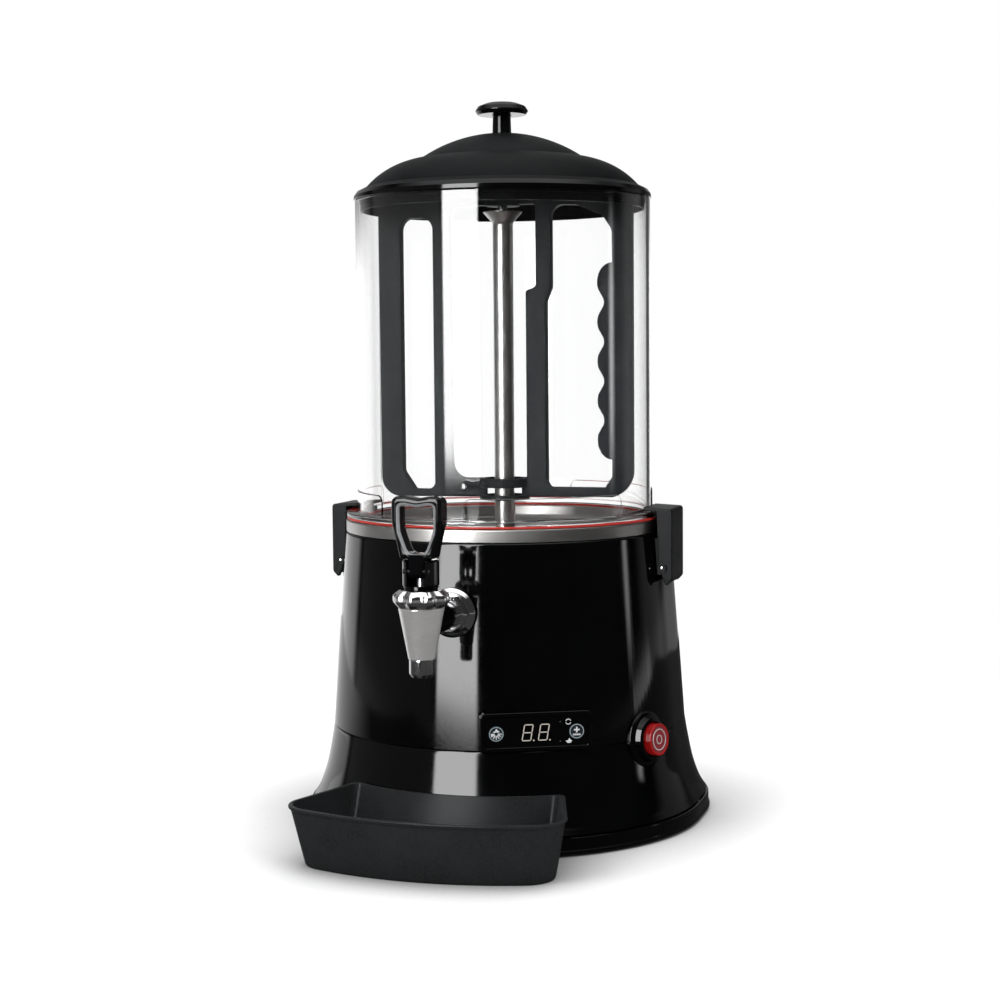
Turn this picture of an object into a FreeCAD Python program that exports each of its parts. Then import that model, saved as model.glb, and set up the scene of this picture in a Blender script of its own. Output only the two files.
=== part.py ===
import FreeCAD, Part
import Sketcher
import math
import os
from types import SimpleNamespace

# Hot chocolate dispenser: a warmed clear tank on a tapered body, with a tap and a drip tray.
# The pieces are drawn about the tank's axis, with the floor at z = 0 and the tap towards -Y.
# Each piece's Placement then moves that axis so that the footprint is centred on the origin.

V = FreeCAD.Vector
doc = FreeCAD.newDocument("HotChocolateDispenser")
sheet = doc.addObject("Spreadsheet::Sheet", "Sizes")

driving_sizes = {
    # running and standing clearances
    "fit_gap": 0.05, "free_gap": 0.3,
    # plan of the body: a half circle in front, straight sides, rounded rear corners
    "front_reach": 237.0, "side_run": 25.0, "corner_inset": 22.0,
    "base_radius": 160.0, "base_bottom": 1.6, "base_top": 14.0, "base_wall": 3.0,
    "casing_wall": 3.0, "skirt_bottom": 14.5, "skirt_ledge": 3.0,
    "flare_low_inset": 4.0, "flare_low_height": 22.0,
    "flare_mid_inset": 6.8, "flare_mid_height": 28.5,
    "flare_top_inset": 11.0, "flare_top_height": 41.5,
    "seam_height": 76.0, "seam_radius": 139.6, "seam_gap": 0.4, "seam_lip": 6.0,
    "shell_top": 230.3, "shell_top_radius": 128.5, "deck_opening": 113.0,
    # basin ring and bowl
    "ring_radius": 127.9, "ring_bottom": 230.5, "ring_top": 240.3, "sheet_wall": 1.5,
    "bowl_radius": 112.0, "bowl_depth": 9.5, "trough_depth": 18.0, "trough_radius": 80.0,
    # tank and its gasket
    "tank_radius": 117.5, "tank_wall": 3.0, "lid_rise": 77.7,
    "tank_flange_radius": 128.0, "tank_flange_bottom": 242.3, "tank_flange": 4.0,
    "pad_height": 14.0, "pad_thickness": 0.8, "pad_sweep": 59.0,
    "gasket_radius": 125.5, "gasket_lip": 1.5, "gasket_lip_height": 7.7,
    # lid and knob
    "lid_rim_radius": 118.7, "lid_edge_height": 3.4, "lid_edge_radius": 118.3,
    "lid_bevel_height": 6.7, "lid_bevel_radius": 115.8,
    "lid_tier_radius": 109.0, "lid_tier_height": 9.9, "lid_tier_curve": 66.0,
    "lid_step_radius": 66.0, "lid_step_height": 32.4, "lid_dome_height": 53.0, "lid_dome_curve": 116.0,
    "lid_wall": 2.5, "lid_skirt_radius": 113.2, "lid_skirt_depth": 8.6,
    "knob_stem": 7.5, "knob_cap_radius": 21.2, "knob_cap_height": 10.0, "knob_edge_rise": 3.0,
    "overall_height": 570.0, "knob_crown_radius": 13.8, "knob_cap_bevel": 2.0, "knob_screw": 2.5,
    "knob_screw_head": 2.0, "knob_screw_cover": 1.0,
    # drive
    "shaft_radius": 4.0, "shaft_tip_rise": 6.4, "tube_radius": 8.1, "tube_wall": 2.0,
    "tube_foot": 150.0, "tube_drop": 8.3, "tube_cone_radius": 15.5, "tube_cone_height": 9.4,
    "tube_cone_rim": 1.0,
    "bush_length": 14.0, "seal_height": 3.5,
    "coupling_bottom": 112.0, "coupling_top": 142.0, "coupling_radius": 11.0, "coupling_split": 127.0,
    "output_radius": 5.0, "output_seat": 90.0,
    "gearbox_width": 64.0, "gearbox_depth": 56.0, "gearbox_bottom": 60.0, "gearbox_top": 98.0,
    "motor_radius": 26.0, "motor_bottom": 8.0,
    "bracket_width": 140.0, "bracket_depth": 76.0, "bracket_sheet": 3.0,
    # stirrer
    "stirrer_radius": 106.0, "stirrer_thickness": 8.0, "stirrer_bottom": 253.7, "stirrer_rise": 7.7,
    "stirrer_hub_radius": 14.0, "hub_drop": 4.3, "hub_height": 15.0, "hub_roof": 4.0,
    "window_drop": 3.3, "window_bottom": 261.5, "outer_bar": 20.0,
    "collar_bore": 16.2, "collar_radius": 20.0,
    "collar_low": 3.8, "collar_gap": 6.2, "collar_high": 7.3, "collar_room": 2.0,
    "scallop_drop": 47.5, "scallop_rise": 25.0, "scallop_root": 83.6, "scallop_bow": 9.9,
    "scallop_depth": 6.3,
    "corner_run": 16.0, "left_corner_rise": 18.0, "left_corner_lift": 1.5, "left_corner_curve": 18.0,
    "right_corner_rise": 23.0, "right_corner_lift": 3.0, "right_corner_curve": 22.0,
    "shoulder_drop": 10.0, "shoulder_run": 7.0, "shoulder_lift": 3.0, "shoulder_curve": 8.0,
    "crown_half": 20.0,
    "left_window_edge": 58.5, "left_window_foot": 14.5, "left_window_cut": 10.0,
    "left_window_crown": 18.0, "left_window_curve": 14.6,
    "mid_window_left": 43.5, "mid_window_right": 19.6, "mid_window_step": 28.0, "step_drop": 67.0,
    "mid_window_sill": 9.5, "mid_window_corner": 12.0,
    "right_window_left": 36.4, "right_window_step": 40.7, "right_window_sill": 2.7, "right_window_roof": 3.4,
    "right_window_flat": 62.0, "right_window_bend": 80.4, "right_window_bend_drop": 11.2,
    "right_window_side_drop": 21.6, "right_window_foot": 12.0, "right_window_cut": 6.0,
    "rinse_hole_radius": 2.6, "rinse_hole_offset": 35.0, "rinse_hole_rise": 2.1,
    # warming jacket
    "jacket_radius": 121.0, "jacket_bottom": 155.0,
    "heater_ring": 80.0, "heater_wire": 5.0, "heater_height": 168.0, "heater_leg_spread": 12.0,
    "heater_leg": 3.6, "probe_radius": 3.0, "probe_offset": 50.0, "probe_length": 54.0,
    # tap
    "tap_reach": 202.0, "tap_axis_height": 179.0, "bore_radius": 5.0, "pipe_radius": 6.5, "pipe_bend": 20.0,
    "shank_radius": 8.0, "shank_back": 116.0, "shank_front": 160.0, "shank_socket": 10.0,
    "washer_radius": 16.0, "escutcheon_radius": 18.6, "escutcheon_back": 134.0, "escutcheon_front": 140.0,
    "nut_front": 147.0, "nut_across": 27.0, "arm_radius": 10.5,
    "cone_bottom": 155.0, "cone_bottom_radius": 9.65, "cone_top": 192.0, "cone_top_radius": 16.6,
    "chamber_radius": 11.0, "seat_bottom": 171.0, "seat_radius": 6.0, "seat_room": 0.5,
    "nozzle_bottom": 142.0, "nozzle_radius": 9.15,
    "collar_bottom": 192.3, "collar_top": 205.0, "tap_collar_radius": 20.2, "collar_roof": 3.0,
    "collar_chamfer": 1.5, "collar_flutes": 8, "flute_radius": 12.0, "flute_depth": 1.8,
    "yoke_radius": 13.1, "yoke_top": 226.0, "yoke_floor": 208.0, "yoke_slot": 14.0,
    "pin_radius": 2.0, "pin_offset": 8.0, "pin_height": 218.0, "pin_length": 20.0,
    "stem_radius": 3.0, "stem_bottom": 176.0, "crossbar_radius": 1.8, "crossbar_length": 13.0,
    "cup_radius": 10.3, "cup_top": 182.0, "spring_radius": 6.6, "spring_fold": 2.6, "spring_sheet": 0.8,
    "handle_width": 38.0, "handle_bottom": 227.0, "handle_top": 271.0, "handle_depth": 15.0,
    "handle_back": 5.5, "handle_rim": 6.8, "handle_foot": 26.0, "handle_dip": 2.5,
    "handle_neck_rise": 14.0, "handle_neck_inset": 3.0, "handle_side_rise": 26.0, "handle_shoulder": 8.0,
    "loop_foot": 3.0, "loop_neck_rise": 17.0, "loop_neck_inset": 1.0, "loop_shoulder_drop": 12.0,
    "loop_corner": 5.0, "loop_roof": 8.0, "loop_top_rim": 6.0,
    "hub_floor": 213.2, "hub_proud": 1.5, "hub_chamfer": 3.0, "hub_slot_front": 2.4,
    "hub_slot_top": 226.0, "crossbar_play": 0.5, "crossbar_run": 1.8,
    # latches
    "latch_web": 142.0, "latch_sheet": 2.5, "latch_half_width": 21.0, "latch_pin_reach": 134.3,
    "latch_pin_height": 203.2, "latch_pin_radius": 2.0, "latch_head_radius": 3.4, "latch_head": 2.2,
    "latch_foot": 188.7, "latch_foot_reach": 137.0, "latch_foot_side": 194.0, "latch_shoulder": 246.8,
    "latch_tip_reach": 119.2, "latch_tip_rise": 1.2, "latch_root_reach": 131.2, "latch_edge_reach": 129.3,
    "latch_hollow": 8.0,
    "latch_bracket_reach": 137.2, "latch_bracket_below": 5.7, "latch_bracket_above": 22.8,
    "latch_bracket_root": 6.0, "latch_bracket_margin": 10.0,
    # control panel, facing its own azimuth
    "panel_azimuth": 26.3, "panel_face": 139.6, "panel_back": 127.6,
    "panel_width": 84.0, "panel_height": 29.4,
    "panel_border": 3.5, "panel_corner": 3.5, "window_recess": 0.6, "window_sheet": 2.4,
    "key_offset": 30.3, "key_radius": 5.9, "key_height": 90.2, "key_proud": 1.0, "key_flange": 7.5,
    "key_flange_sheet": 1.6,
    "key_travel": 0.8, "switch_width": 6.0, "switch_depth": 3.7, "board_sheet": 1.6, "module_width": 36.0,
    "module_height": 19.0, "module_foot": 1.0, "board_margin": 1.0, "board_hole": 1.5,
    # power switch, facing its own azimuth and tilted up
    "power_azimuth": 67.0, "power_tilt": 4.7, "power_reach": 141.84, "power_height": 75.3,
    "bezel_radius": 21.6, "bezel_depth": 8.0, "bezel_face": 15.5, "bezel_edge": 1.5, "bezel_edge_run": 2.0,
    "bezel_dish": 2.5, "button_radius": 12.2, "button_proud": 11.1, "button_chamfer": 1.0,
    "button_tail": 6.0, "button_travel": 3.0, "switch_radius": 17.0, "switch_length": 20.0, "switch_rim": 1.0,
    # drip tray
    "tray_bottom": 0.0, "tray_knee": 15.5, "tray_top": 45.0, "tray_wall": 2.5,
    "tray_gap": 0.6, "tray_back_inset": 11.0,
    "tray_back_half": 82.0, "tray_side_half": 103.5, "tray_side_front": 194.0, "tray_side_half_low": 94.0,
    "tray_side_front_low": 189.0, "tray_nose_half": 85.0, "tray_nose_drop": 14.5, "tray_nose_half_low": 78.0,
    "tray_nose_drop_low": 13.0, "tray_front_low": 228.0, "tray_corner": 24.0, "tray_corner_low": 23.0,
    # feet, screws, gland
    "foot_radius": 11.0, "foot_inset": 48.0, "foot_front": 62.0, "foot_rear": 82.0,
    "screw_radius": 1.5, "screw_head": 3.2, "screw_head_height": 1.8, "boss_radius": 5.0, "boss_inset": 10.5,
    "boss_top": 22.0, "gland_height": 35.0, "gland_radius": 8.0, "gland_flange": 10.0,
    "gland_setback": 5.0, "gland_flange_sheet": 2.5, "gland_bore": 3.0, "gland_step": 2.0, "gland_taper": 1.5,
    "gland_nose": 6.5, "gland_tail": 12.0, "vent_width": 5.0, "vent_length": 60.0, "vent_pitch": 14.0,
}


class Size:
    """A size that knows both its value in mm or degrees and the sheet expression behind it."""

    def __init__(self, value, text):
        self.value = value
        self.text = text

    def __add__(self, other):
        other = as_size(other)
        return Size(self.value + other.value, f"({self.text} + {other.text})")

    def __sub__(self, other):
        other = as_size(other)
        return Size(self.value - other.value, f"({self.text} - {other.text})")

    def __mul__(self, other):
        other = as_size(other)
        return Size(self.value * other.value, f"({self.text} * {other.text})")

    def __truediv__(self, other):
        other = as_size(other)
        return Size(self.value / other.value, f"({self.text} / {other.text})")

    def __radd__(self, other):
        return as_size(other) + self

    def __rsub__(self, other):
        return as_size(other) - self

    def __rmul__(self, other):
        return as_size(other) * self

    def __neg__(self):
        return as_size(0) - self


def as_size(number):
    if isinstance(number, Size):
        return number
    return Size(float(number), f"({number})" if number < 0 else f"{number}")


def sine(angle):
    return Size(math.sin(math.radians(angle.value)), f"sin({angle.text})")


def cosine(angle):
    return Size(math.cos(math.radians(angle.value)), f"cos({angle.text})")


def root(size):
    return Size(math.sqrt(size.value), f"sqrt({size.text})")


def fill_sheet():
    table = SimpleNamespace()
    for row, (name, value) in enumerate(driving_sizes.items(), start=1):
        sheet.set(f"A{row}", name.replace("_", " "))
        sheet.set(f"B{row}", f"{value}")
        sheet.setAlias(f"B{row}", name)
        setattr(table, name, Size(float(value), f"Sizes.{name}"))
    doc.recompute()
    return table


s = fill_sheet()
parts = {}

# derived places shared by several pieces
rear_reach = s.base_radius + s.side_run - s.corner_inset
axis_y = (s.front_reach - rear_reach) / 2
skirt_foot = s.base_radius - s.skirt_ledge
tank_top = s.overall_height - s.lid_rise
tube_top = tank_top - s.tube_drop
stirrer_top = tank_top + s.stirrer_rise
hub_bottom = tank_top - s.hub_drop
knob_cap_bottom = s.overall_height - s.knob_cap_height
tank_base = s.tank_flange_bottom + s.tank_flange
lid_bottom = tank_top + s.free_gap
jacket_top = s.shell_top - s.casing_wall - s.free_gap / 3
panel_bottom = s.seam_height
stem_top = s.pin_height + s.crossbar_radius
feet_top = s.base_bottom


def shell_radius(height):
    """Outer radius of the tapered casing at a height."""
    slope = (s.seam_radius - s.shell_top_radius) / (s.shell_top - s.seam_height)
    return s.shell_top_radius + (s.shell_top - height) * slope


# ---- documents and features -------------------------------------------------------------


def new_body(name):
    return doc.addObject("PartDesign::Body", name)


def origin_plane(body, role):
    for feature in body.Origin.OriginFeatures:
        if feature.Role == role:
            return feature


def new_sketch(body, name, role="XZ_Plane", offset=None):
    """A sketch on one of the body's planes, moved along that plane's normal by the offset."""
    sketch = body.newObject("Sketcher::SketchObject", name)
    sketch.AttachmentSupport = [(origin_plane(body, role), "")]
    sketch.MapMode = "FlatFace"
    if offset is not None:
        sketch.setExpression(".AttachmentOffset.Base.z", as_size(offset).text)
    return sketch


def pin_point(sketch, geometry, end, x, y):
    """Hold a point of the sketch at x, y by sizes from the sheet."""
    for coordinate, constraint, axis in ((x, "DistanceX", -2), (y, "DistanceY", -1)):
        if not isinstance(coordinate, Size) and coordinate == 0:
            sketch.addConstraint(Sketcher.Constraint("PointOnObject", geometry, end, axis))
            continue
        coordinate = as_size(coordinate)
        number = sketch.addConstraint(
            Sketcher.Constraint(constraint, -1, 1, geometry, end, coordinate.value))
        sketch.setExpression(f"Constraints[{number}]", coordinate.text)


def arc_between(start, end, radius, turn):
    """The shorter arc from start to end, turning left or right about its centre."""
    dx = end[0] - start[0]
    dy = end[1] - start[1]
    chord = math.hypot(dx, dy)
    rise = math.sqrt(max(radius ** 2 - chord ** 2 / 4, 0.0))
    side = 1 if turn == "left" else -1
    cx = (start[0] + end[0]) / 2 - side * rise * dy / chord
    cy = (start[1] + end[1]) / 2 + side * rise * dx / chord
    first, last = (start, end) if turn == "left" else (end, start)
    angles = [math.atan2(point[1] - cy, point[0] - cx) for point in (first, last)]
    return Part.ArcOfCircle(Part.Circle(V(cx, cy, 0), V(0, 0, 1), radius), angles[0], angles[1])


def add_outline(sketch, corners, arcs=None):
    """A closed outline through the corners; arcs gives the radius and turn of its curved edges."""
    arcs = arcs or {}
    points = [(as_size(x).value, as_size(y).value) for x, y in corners]
    first = sketch.GeometryCount
    ends = []
    for index, start in enumerate(points):
        end = points[(index + 1) % len(points)]
        if index in arcs:
            radius, turn = arcs[index]
            number = sketch.addGeometry(arc_between(start, end, as_size(radius).value, turn), False)
            ends.append((1, 2) if turn == "left" else (2, 1))
            held = sketch.addConstraint(Sketcher.Constraint("Radius", number, as_size(radius).value))
            sketch.setExpression(f"Constraints[{held}]", as_size(radius).text)
        else:
            sketch.addGeometry(Part.LineSegment(V(*start, 0), V(*end, 0)), False)
            ends.append((1, 2))
    for index in range(len(points)):
        following = (index + 1) % len(points)
        sketch.addConstraint(Sketcher.Constraint(
            "Coincident", first + index, ends[index][1], first + following, ends[following][0]))
    for index, (x, y) in enumerate(corners):
        pin_point(sketch, first + index, ends[index][0], x, y)


def add_circle(sketch, radius, x=0, y=0):
    radius = as_size(radius)
    centre = V(as_size(x).value, as_size(y).value, 0)
    number = sketch.addGeometry(Part.Circle(centre, V(0, 0, 1), radius.value), False)
    held = sketch.addConstraint(Sketcher.Constraint("Radius", number, radius.value))
    sketch.setExpression(f"Constraints[{held}]", radius.text)
    pin_point(sketch, number, 3, x, y)


def add_rectangle(sketch, x0, x1, y0, y1):
    add_outline(sketch, [(x0, y0), (x1, y0), (x1, y1), (x0, y1)])


def revolve(body, sketch, remove=False, sweep=360):
    kind = "PartDesign::Groove" if remove else "PartDesign::Revolution"
    feature = body.newObject(kind, f"{sketch.Name}_turn")
    feature.Profile = sketch
    feature.ReferenceAxis = (sketch, ["V_Axis"])
    feature.Angle = 360
    if isinstance(sweep, Size):
        feature.setExpression("Angle", sweep.text)
    sketch.Visibility = False
    return feature


def pad(body, sketch, length, both=False, back=False):
    feature = body.newObject("PartDesign::Pad", f"{sketch.Name}_pad")
    feature.Profile = sketch
    feature.setExpression("Length", as_size(length).text)
    feature.Midplane = both
    feature.Reversed = back
    return feature


def pocket(body, sketch, length, both=False, ahead=False):
    """Remove the sketch's area: against the plane's normal, or along it when ahead is set."""
    feature = body.newObject("PartDesign::Pocket", f"{sketch.Name}_pocket")
    feature.Profile = sketch
    feature.setExpression("Length", as_size(length).text)
    feature.Midplane = both
    feature.Reversed = ahead
    return feature


def turned_body(name, corners, arcs=None, hollows=()):
    """A body of revolution about Z from a half outline of (radius, height) corners."""
    body = new_body(name)
    sketch = new_sketch(body, f"{name}_outline")
    add_outline(sketch, corners, arcs)
    revolve(body, sketch)
    for index, hollow in enumerate(hollows):
        cavity = new_sketch(body, f"{name}_cavity{index}")
        add_outline(cavity, hollow)
        revolve(body, cavity, remove=True)
    return body


def tube_corners(inner, outer, bottom, top):
    return [(inner, bottom), (outer, bottom), (outer, top), (inner, top)]


def rotation_text(azimuth, lean):
    around = f"rotation(vector(0; 0; 1); {as_size(azimuth).text})"
    return f"{around} * rotation(vector(1; 0; 0); {as_size(lean).text})"


def place(item, x=0, y=0, z=0, azimuth=0, lean=0):
    place_text = f"vector({as_size(x).text}; {as_size(y).text}; {as_size(z).text})"
    item.setExpression("Placement", f"placement({place_text}; {rotation_text(azimuth, lean)})")


def box(name, low, size):
    item = doc.addObject("Part::Box", name)
    for side, length in zip(("Length", "Width", "Height"), size):
        item.setExpression(side, as_size(length).text)
    place(item, *low)
    return item


def cylinder(name, radius, height, at, azimuth=0, lean=0):
    """A cylinder that starts at a point; lean 90 lays it towards the azimuth's outward side."""
    item = doc.addObject("Part::Cylinder", name)
    item.setExpression("Radius", as_size(radius).text)
    item.setExpression("Height", as_size(height).text)
    place(item, *at, azimuth, lean)
    return item


def cut(name, base, tools):
    item = doc.addObject("Part::Cut", name)
    item.Base = base
    item.Tool = tools[0] if len(tools) == 1 else fuse(f"{name}_tools", tools)
    return item


def fuse(name, shapes):
    item = doc.addObject("Part::MultiFuse", name)
    item.Shapes = shapes
    return item


def group(name, shapes):
    item = doc.addObject("Part::Compound", name)
    item.Links = shapes
    return item


def finish(label, item, x=0, y=0, z=0, azimuth=0, lean=0):
    """Name a sub-part and move it from the tank's axis to the part's own frame."""
    item.Label = label
    place(item, x, axis_y + y, z, azimuth, lean)
    parts[label] = item


def plan_corners(radius):
    """Plan of the body: front half circle, straight sides, rounded rear corners, flat back."""
    corner = radius - s.corner_inset
    back = s.side_run + corner
    corners = [(-radius, 0), (0, -radius), (radius, 0), (radius, s.side_run),
               (s.corner_inset, back), (-s.corner_inset, back), (-radius, s.side_run)]
    arcs = {0: (radius, "left"), 1: (radius, "left"), 3: (corner, "left"), 5: (corner, "left")}
    return corners, arcs


def plan_pipe(name, profile):
    """A wall of the given profile that follows the plan of the body."""
    body = new_body(name)
    path = new_sketch(body, f"{name}_plan", "XY_Plane")
    add_outline(path, *plan_corners(s.seam_radius))
    section = new_sketch(body, f"{name}_section")
    add_outline(section, profile)
    sweep = body.newObject("PartDesign::AdditivePipe", f"{name}_sweep")
    sweep.Profile = section
    sweep.Spine = (path, [])
    return body


# ---- casings ----------------------------------------------------------------------------


def panel_envelope(name):
    half = s.panel_width / 2 + s.free_gap
    depth = s.panel_face - s.panel_back + s.base_radius / 4
    item = doc.addObject("Part::Box", name)
    item.setExpression("Length", (half * 2).text)
    item.setExpression("Width", depth.text)
    item.setExpression("Height", (s.panel_height + s.free_gap * 2).text)
    start = s.panel_back - s.board_sheet - s.free_gap + depth
    x = start * sine(s.panel_azimuth) - half * cosine(s.panel_azimuth)
    y = -start * cosine(s.panel_azimuth) - half * sine(s.panel_azimuth)
    place(item, x, y, panel_bottom - s.free_gap, s.panel_azimuth)
    return item


def power_envelope(name):
    """Round clearance for the power switch, along its own tilted axis."""
    item = doc.addObject("Part::Cylinder", name)
    item.setExpression("Radius", (s.bezel_radius + s.free_gap).text)
    item.setExpression("Height", (s.bezel_depth * 4).text)
    inner = s.power_reach - s.bezel_depth * 2
    place(item, inner * sine(s.power_azimuth), -inner * cosine(s.power_azimuth), s.power_height
          - s.bezel_depth * 2 * sine(s.power_tilt), s.power_azimuth, 90 - s.power_tilt)
    return item


def make_upper_shell():
    inner_top = s.shell_top_radius - s.casing_wall
    under_deck = s.shell_top - s.casing_wall
    wall = plan_pipe("upper_shell_wall", [
        (s.shell_top_radius, s.shell_top), (s.seam_radius, s.seam_height),
        (s.seam_radius - s.casing_wall, s.seam_height), (inner_top, under_deck),
        (s.deck_opening, under_deck), (s.deck_opening, s.shell_top)])
    tap_hole = cylinder("shell_tap_hole", s.shank_radius + s.free_gap, s.base_radius,
                        (0, 0, s.tap_axis_height), 0, 90)
    tools = [panel_envelope("shell_panel_hole"), power_envelope("shell_power_hole"), tap_hole]
    finish("upper_shell", cut("upper_shell", wall, tools))


def boss_places():
    """Centres of the four posts where the base is screwed to the skirt."""
    reach = skirt_foot - s.boss_inset
    half = root(as_size(2)) / 2
    rear = reach - s.corner_inset
    places = []
    for side in (-1, 1):
        places.append((side * reach * half, -reach * half))
        places.append((side * (s.corner_inset + rear * half), s.side_run + rear * half))
    return places


def make_lower_skirt():
    wall = s.casing_wall
    top = s.seam_height - s.seam_gap
    lip_outer = shell_radius(s.seam_height + s.seam_lip) - wall - s.free_gap
    flare = [(s.seam_radius, top), (skirt_foot - s.flare_top_inset, s.flare_top_height),
             (skirt_foot - s.flare_mid_inset, s.flare_mid_height),
             (skirt_foot - s.flare_low_inset, s.flare_low_height), (skirt_foot, s.skirt_bottom)]
    inside = [(radius - wall, height) for radius, height in reversed(flare[1:])]
    lip = [(lip_outer - wall, top), (lip_outer - wall, s.seam_height + s.seam_lip),
           (lip_outer, s.seam_height + s.seam_lip), (lip_outer, top)]
    skirt = plan_pipe("skirt_wall", flare + inside + lip)
    posts = []
    holes = []
    for index, (x, y) in enumerate(boss_places()):
        height = s.boss_top - s.skirt_bottom
        posts.append(cylinder(f"skirt_post{index}", s.boss_radius, height, (x, y, s.skirt_bottom)))
        holes.append(cylinder(f"skirt_post_hole{index}", s.screw_radius + s.fit_gap,
                              height - s.free_gap, (x, y, s.skirt_bottom)))
    joined = fuse("skirt_with_posts", [skirt] + posts)
    gland_hole = cylinder("skirt_gland_hole", s.gland_radius + s.free_gap, s.base_radius * 2,
                          (0, 0, s.gland_height), 180, 90)
    tools = [panel_envelope("skirt_panel_hole"), power_envelope("skirt_power_hole"), gland_hole] + holes
    finish("lower_skirt", cut("lower_skirt", joined, tools))


def make_base():
    floor = s.base_bottom + s.base_wall
    body = new_body("base_tray")
    outline = new_sketch(body, "base_outline", "XY_Plane", s.base_bottom)
    add_outline(outline, *plan_corners(s.base_radius))
    pad(body, outline, s.base_top - s.base_bottom)
    inside = new_sketch(body, "base_inside", "XY_Plane", s.base_top)
    add_outline(inside, *plan_corners(s.base_radius - s.base_wall))
    pocket(body, inside, s.base_top - floor)
    posts = []
    tools = []
    for index, (x, y) in enumerate(boss_places()):
        height = s.skirt_bottom - s.free_gap - floor
        posts.append(cylinder(f"base_post{index}", s.boss_radius, height, (x, y, floor)))
        tools.append(cylinder(f"base_post_hole{index}", s.screw_radius + s.free_gap,
                              s.skirt_bottom, (x, y, 0)))
        tools.append(cylinder(f"base_head_hole{index}", s.screw_head + s.free_gap,
                              s.screw_head_height + s.free_gap, (x, y, s.base_bottom)))
    for index in range(4):
        x = (index - 1.5) * s.vent_pitch - s.vent_width / 2
        low = (x, s.motor_radius + s.vent_pitch, 0)
        tools.append(box(f"vent{index}", low, (s.vent_width, s.vent_length, floor * 2)))
    joined = fuse("base_with_posts", [body] + posts)
    finish("base_plate", cut("base_plate", joined, tools))
    foot_side = s.base_radius - s.foot_inset
    feet = []
    for side in (-1, 1):
        for y in (-s.foot_front, s.foot_rear):
            feet.append(cylinder("foot", s.foot_radius, feet_top, (side * foot_side, y, 0)))
    finish("rubber_feet", group("rubber_feet", feet))
    screws = []
    for index, (x, y) in enumerate(boss_places()):
        head = cylinder(f"screw_head{index}", s.screw_head, s.screw_head_height, (x, y, s.base_bottom))
        length = s.boss_top - s.base_bottom - s.free_gap * 3
        shank = cylinder(f"screw_shank{index}", s.screw_radius, length, (x, y, s.base_bottom))
        screws.append(fuse(f"screw{index}", [head, shank]))
    finish("base_screws", group("base_screws", screws))
    flange_near = s.gland_tail
    flange_far = flange_near + s.gland_flange_sheet
    nose = flange_near + s.gland_nose
    neck = s.gland_radius - s.gland_step
    gland = turned_body("gland_turned", [
        (s.gland_bore, 0), (s.gland_radius, 0), (s.gland_radius, flange_near), (s.gland_flange, flange_near),
        (s.gland_flange, flange_far), (neck, flange_far), (neck - s.gland_taper, nose), (s.gland_bore, nose)])
    inner_end = s.side_run + skirt_foot - s.corner_inset - s.gland_setback - s.gland_tail
    finish("cable_gland", gland, 0, inner_end, s.gland_height, 180, 90)


# ---- basin, tank and lid ----------------------------------------------------------------


def make_basin():
    wall = s.sheet_wall
    bowl_floor = s.ring_top - s.bowl_depth
    trough = s.ring_top - s.trough_depth
    tube_hole = s.tube_radius + s.fit_gap
    hub = s.tube_radius * 2.5
    basin = turned_body("basin_turned", [
        (s.ring_radius - wall, s.ring_bottom), (s.ring_radius, s.ring_bottom),
        (s.ring_radius, s.ring_top - wall), (s.ring_radius - wall, s.ring_top),
        (s.bowl_radius - wall, s.ring_top), (s.bowl_radius - wall, bowl_floor),
        (s.trough_radius, trough), (hub, bowl_floor), (tube_hole, bowl_floor),
        (tube_hole, bowl_floor - wall), (hub, bowl_floor - wall), (s.trough_radius, trough - wall),
        (s.bowl_radius, bowl_floor - wall), (s.bowl_radius, s.ring_top - wall),
        (s.ring_radius - wall, s.ring_top - wall)])
    drain = cylinder("basin_drain", s.bore_radius, s.bowl_depth + s.trough_depth,
                     (0, -s.trough_radius, trough - s.bowl_depth))
    finish("product_basin", cut("product_basin", basin, [drain]))
    jacket = turned_body("jacket_turned", [
        (tube_hole, s.jacket_bottom), (s.jacket_radius, s.jacket_bottom), (s.jacket_radius, jacket_top),
        (s.jacket_radius - wall, jacket_top), (s.jacket_radius - wall, s.jacket_bottom + wall),
        (tube_hole, s.jacket_bottom + wall)])
    leg_y = root(s.heater_ring * s.heater_ring - s.heater_leg_spread * s.heater_leg_spread)
    legs = [(-s.heater_leg_spread, leg_y), (s.heater_leg_spread, leg_y)]
    holes = [cylinder("jacket_tap_hole", s.shank_radius + s.fit_gap, s.base_radius,
                      (0, 0, s.tap_axis_height), 0, 90)]
    for index, (x, y) in enumerate(legs):
        holes.append(cylinder(f"jacket_leg_hole{index}", s.heater_leg + s.free_gap / 2,
                              s.heater_wire * 2, (x, y, s.jacket_bottom - s.heater_wire)))
    holes.append(cylinder("jacket_probe_hole", s.probe_radius + s.fit_gap, s.heater_wire * 2,
                          (s.probe_offset, -s.probe_offset, s.jacket_bottom - s.heater_wire)))
    finish("water_jacket", cut("water_jacket", jacket, holes))
    loop = doc.addObject("Part::Torus", "heater_loop")
    loop.setExpression("Radius1", s.heater_ring.text)
    loop.setExpression("Radius2", s.heater_wire.text)
    place(loop, 0, 0, s.heater_height)
    leg_bottom = s.jacket_bottom - s.heater_wire * 2
    leg_length = s.heater_height - leg_bottom
    heater_legs = [cylinder(f"heater_leg{index}", s.heater_leg, leg_length, (x, y, leg_bottom))
                   for index, (x, y) in enumerate(legs)]
    finish("heating_element", fuse("heating_element", [loop] + heater_legs))
    probe = cylinder("temperature_probe", s.probe_radius, s.probe_length, (0, 0, 0))
    finish("temperature_probe", probe, s.probe_offset, -s.probe_offset, s.jacket_bottom - s.heater_wire * 2)
    make_outlet_pipe(trough - wall)


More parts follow.
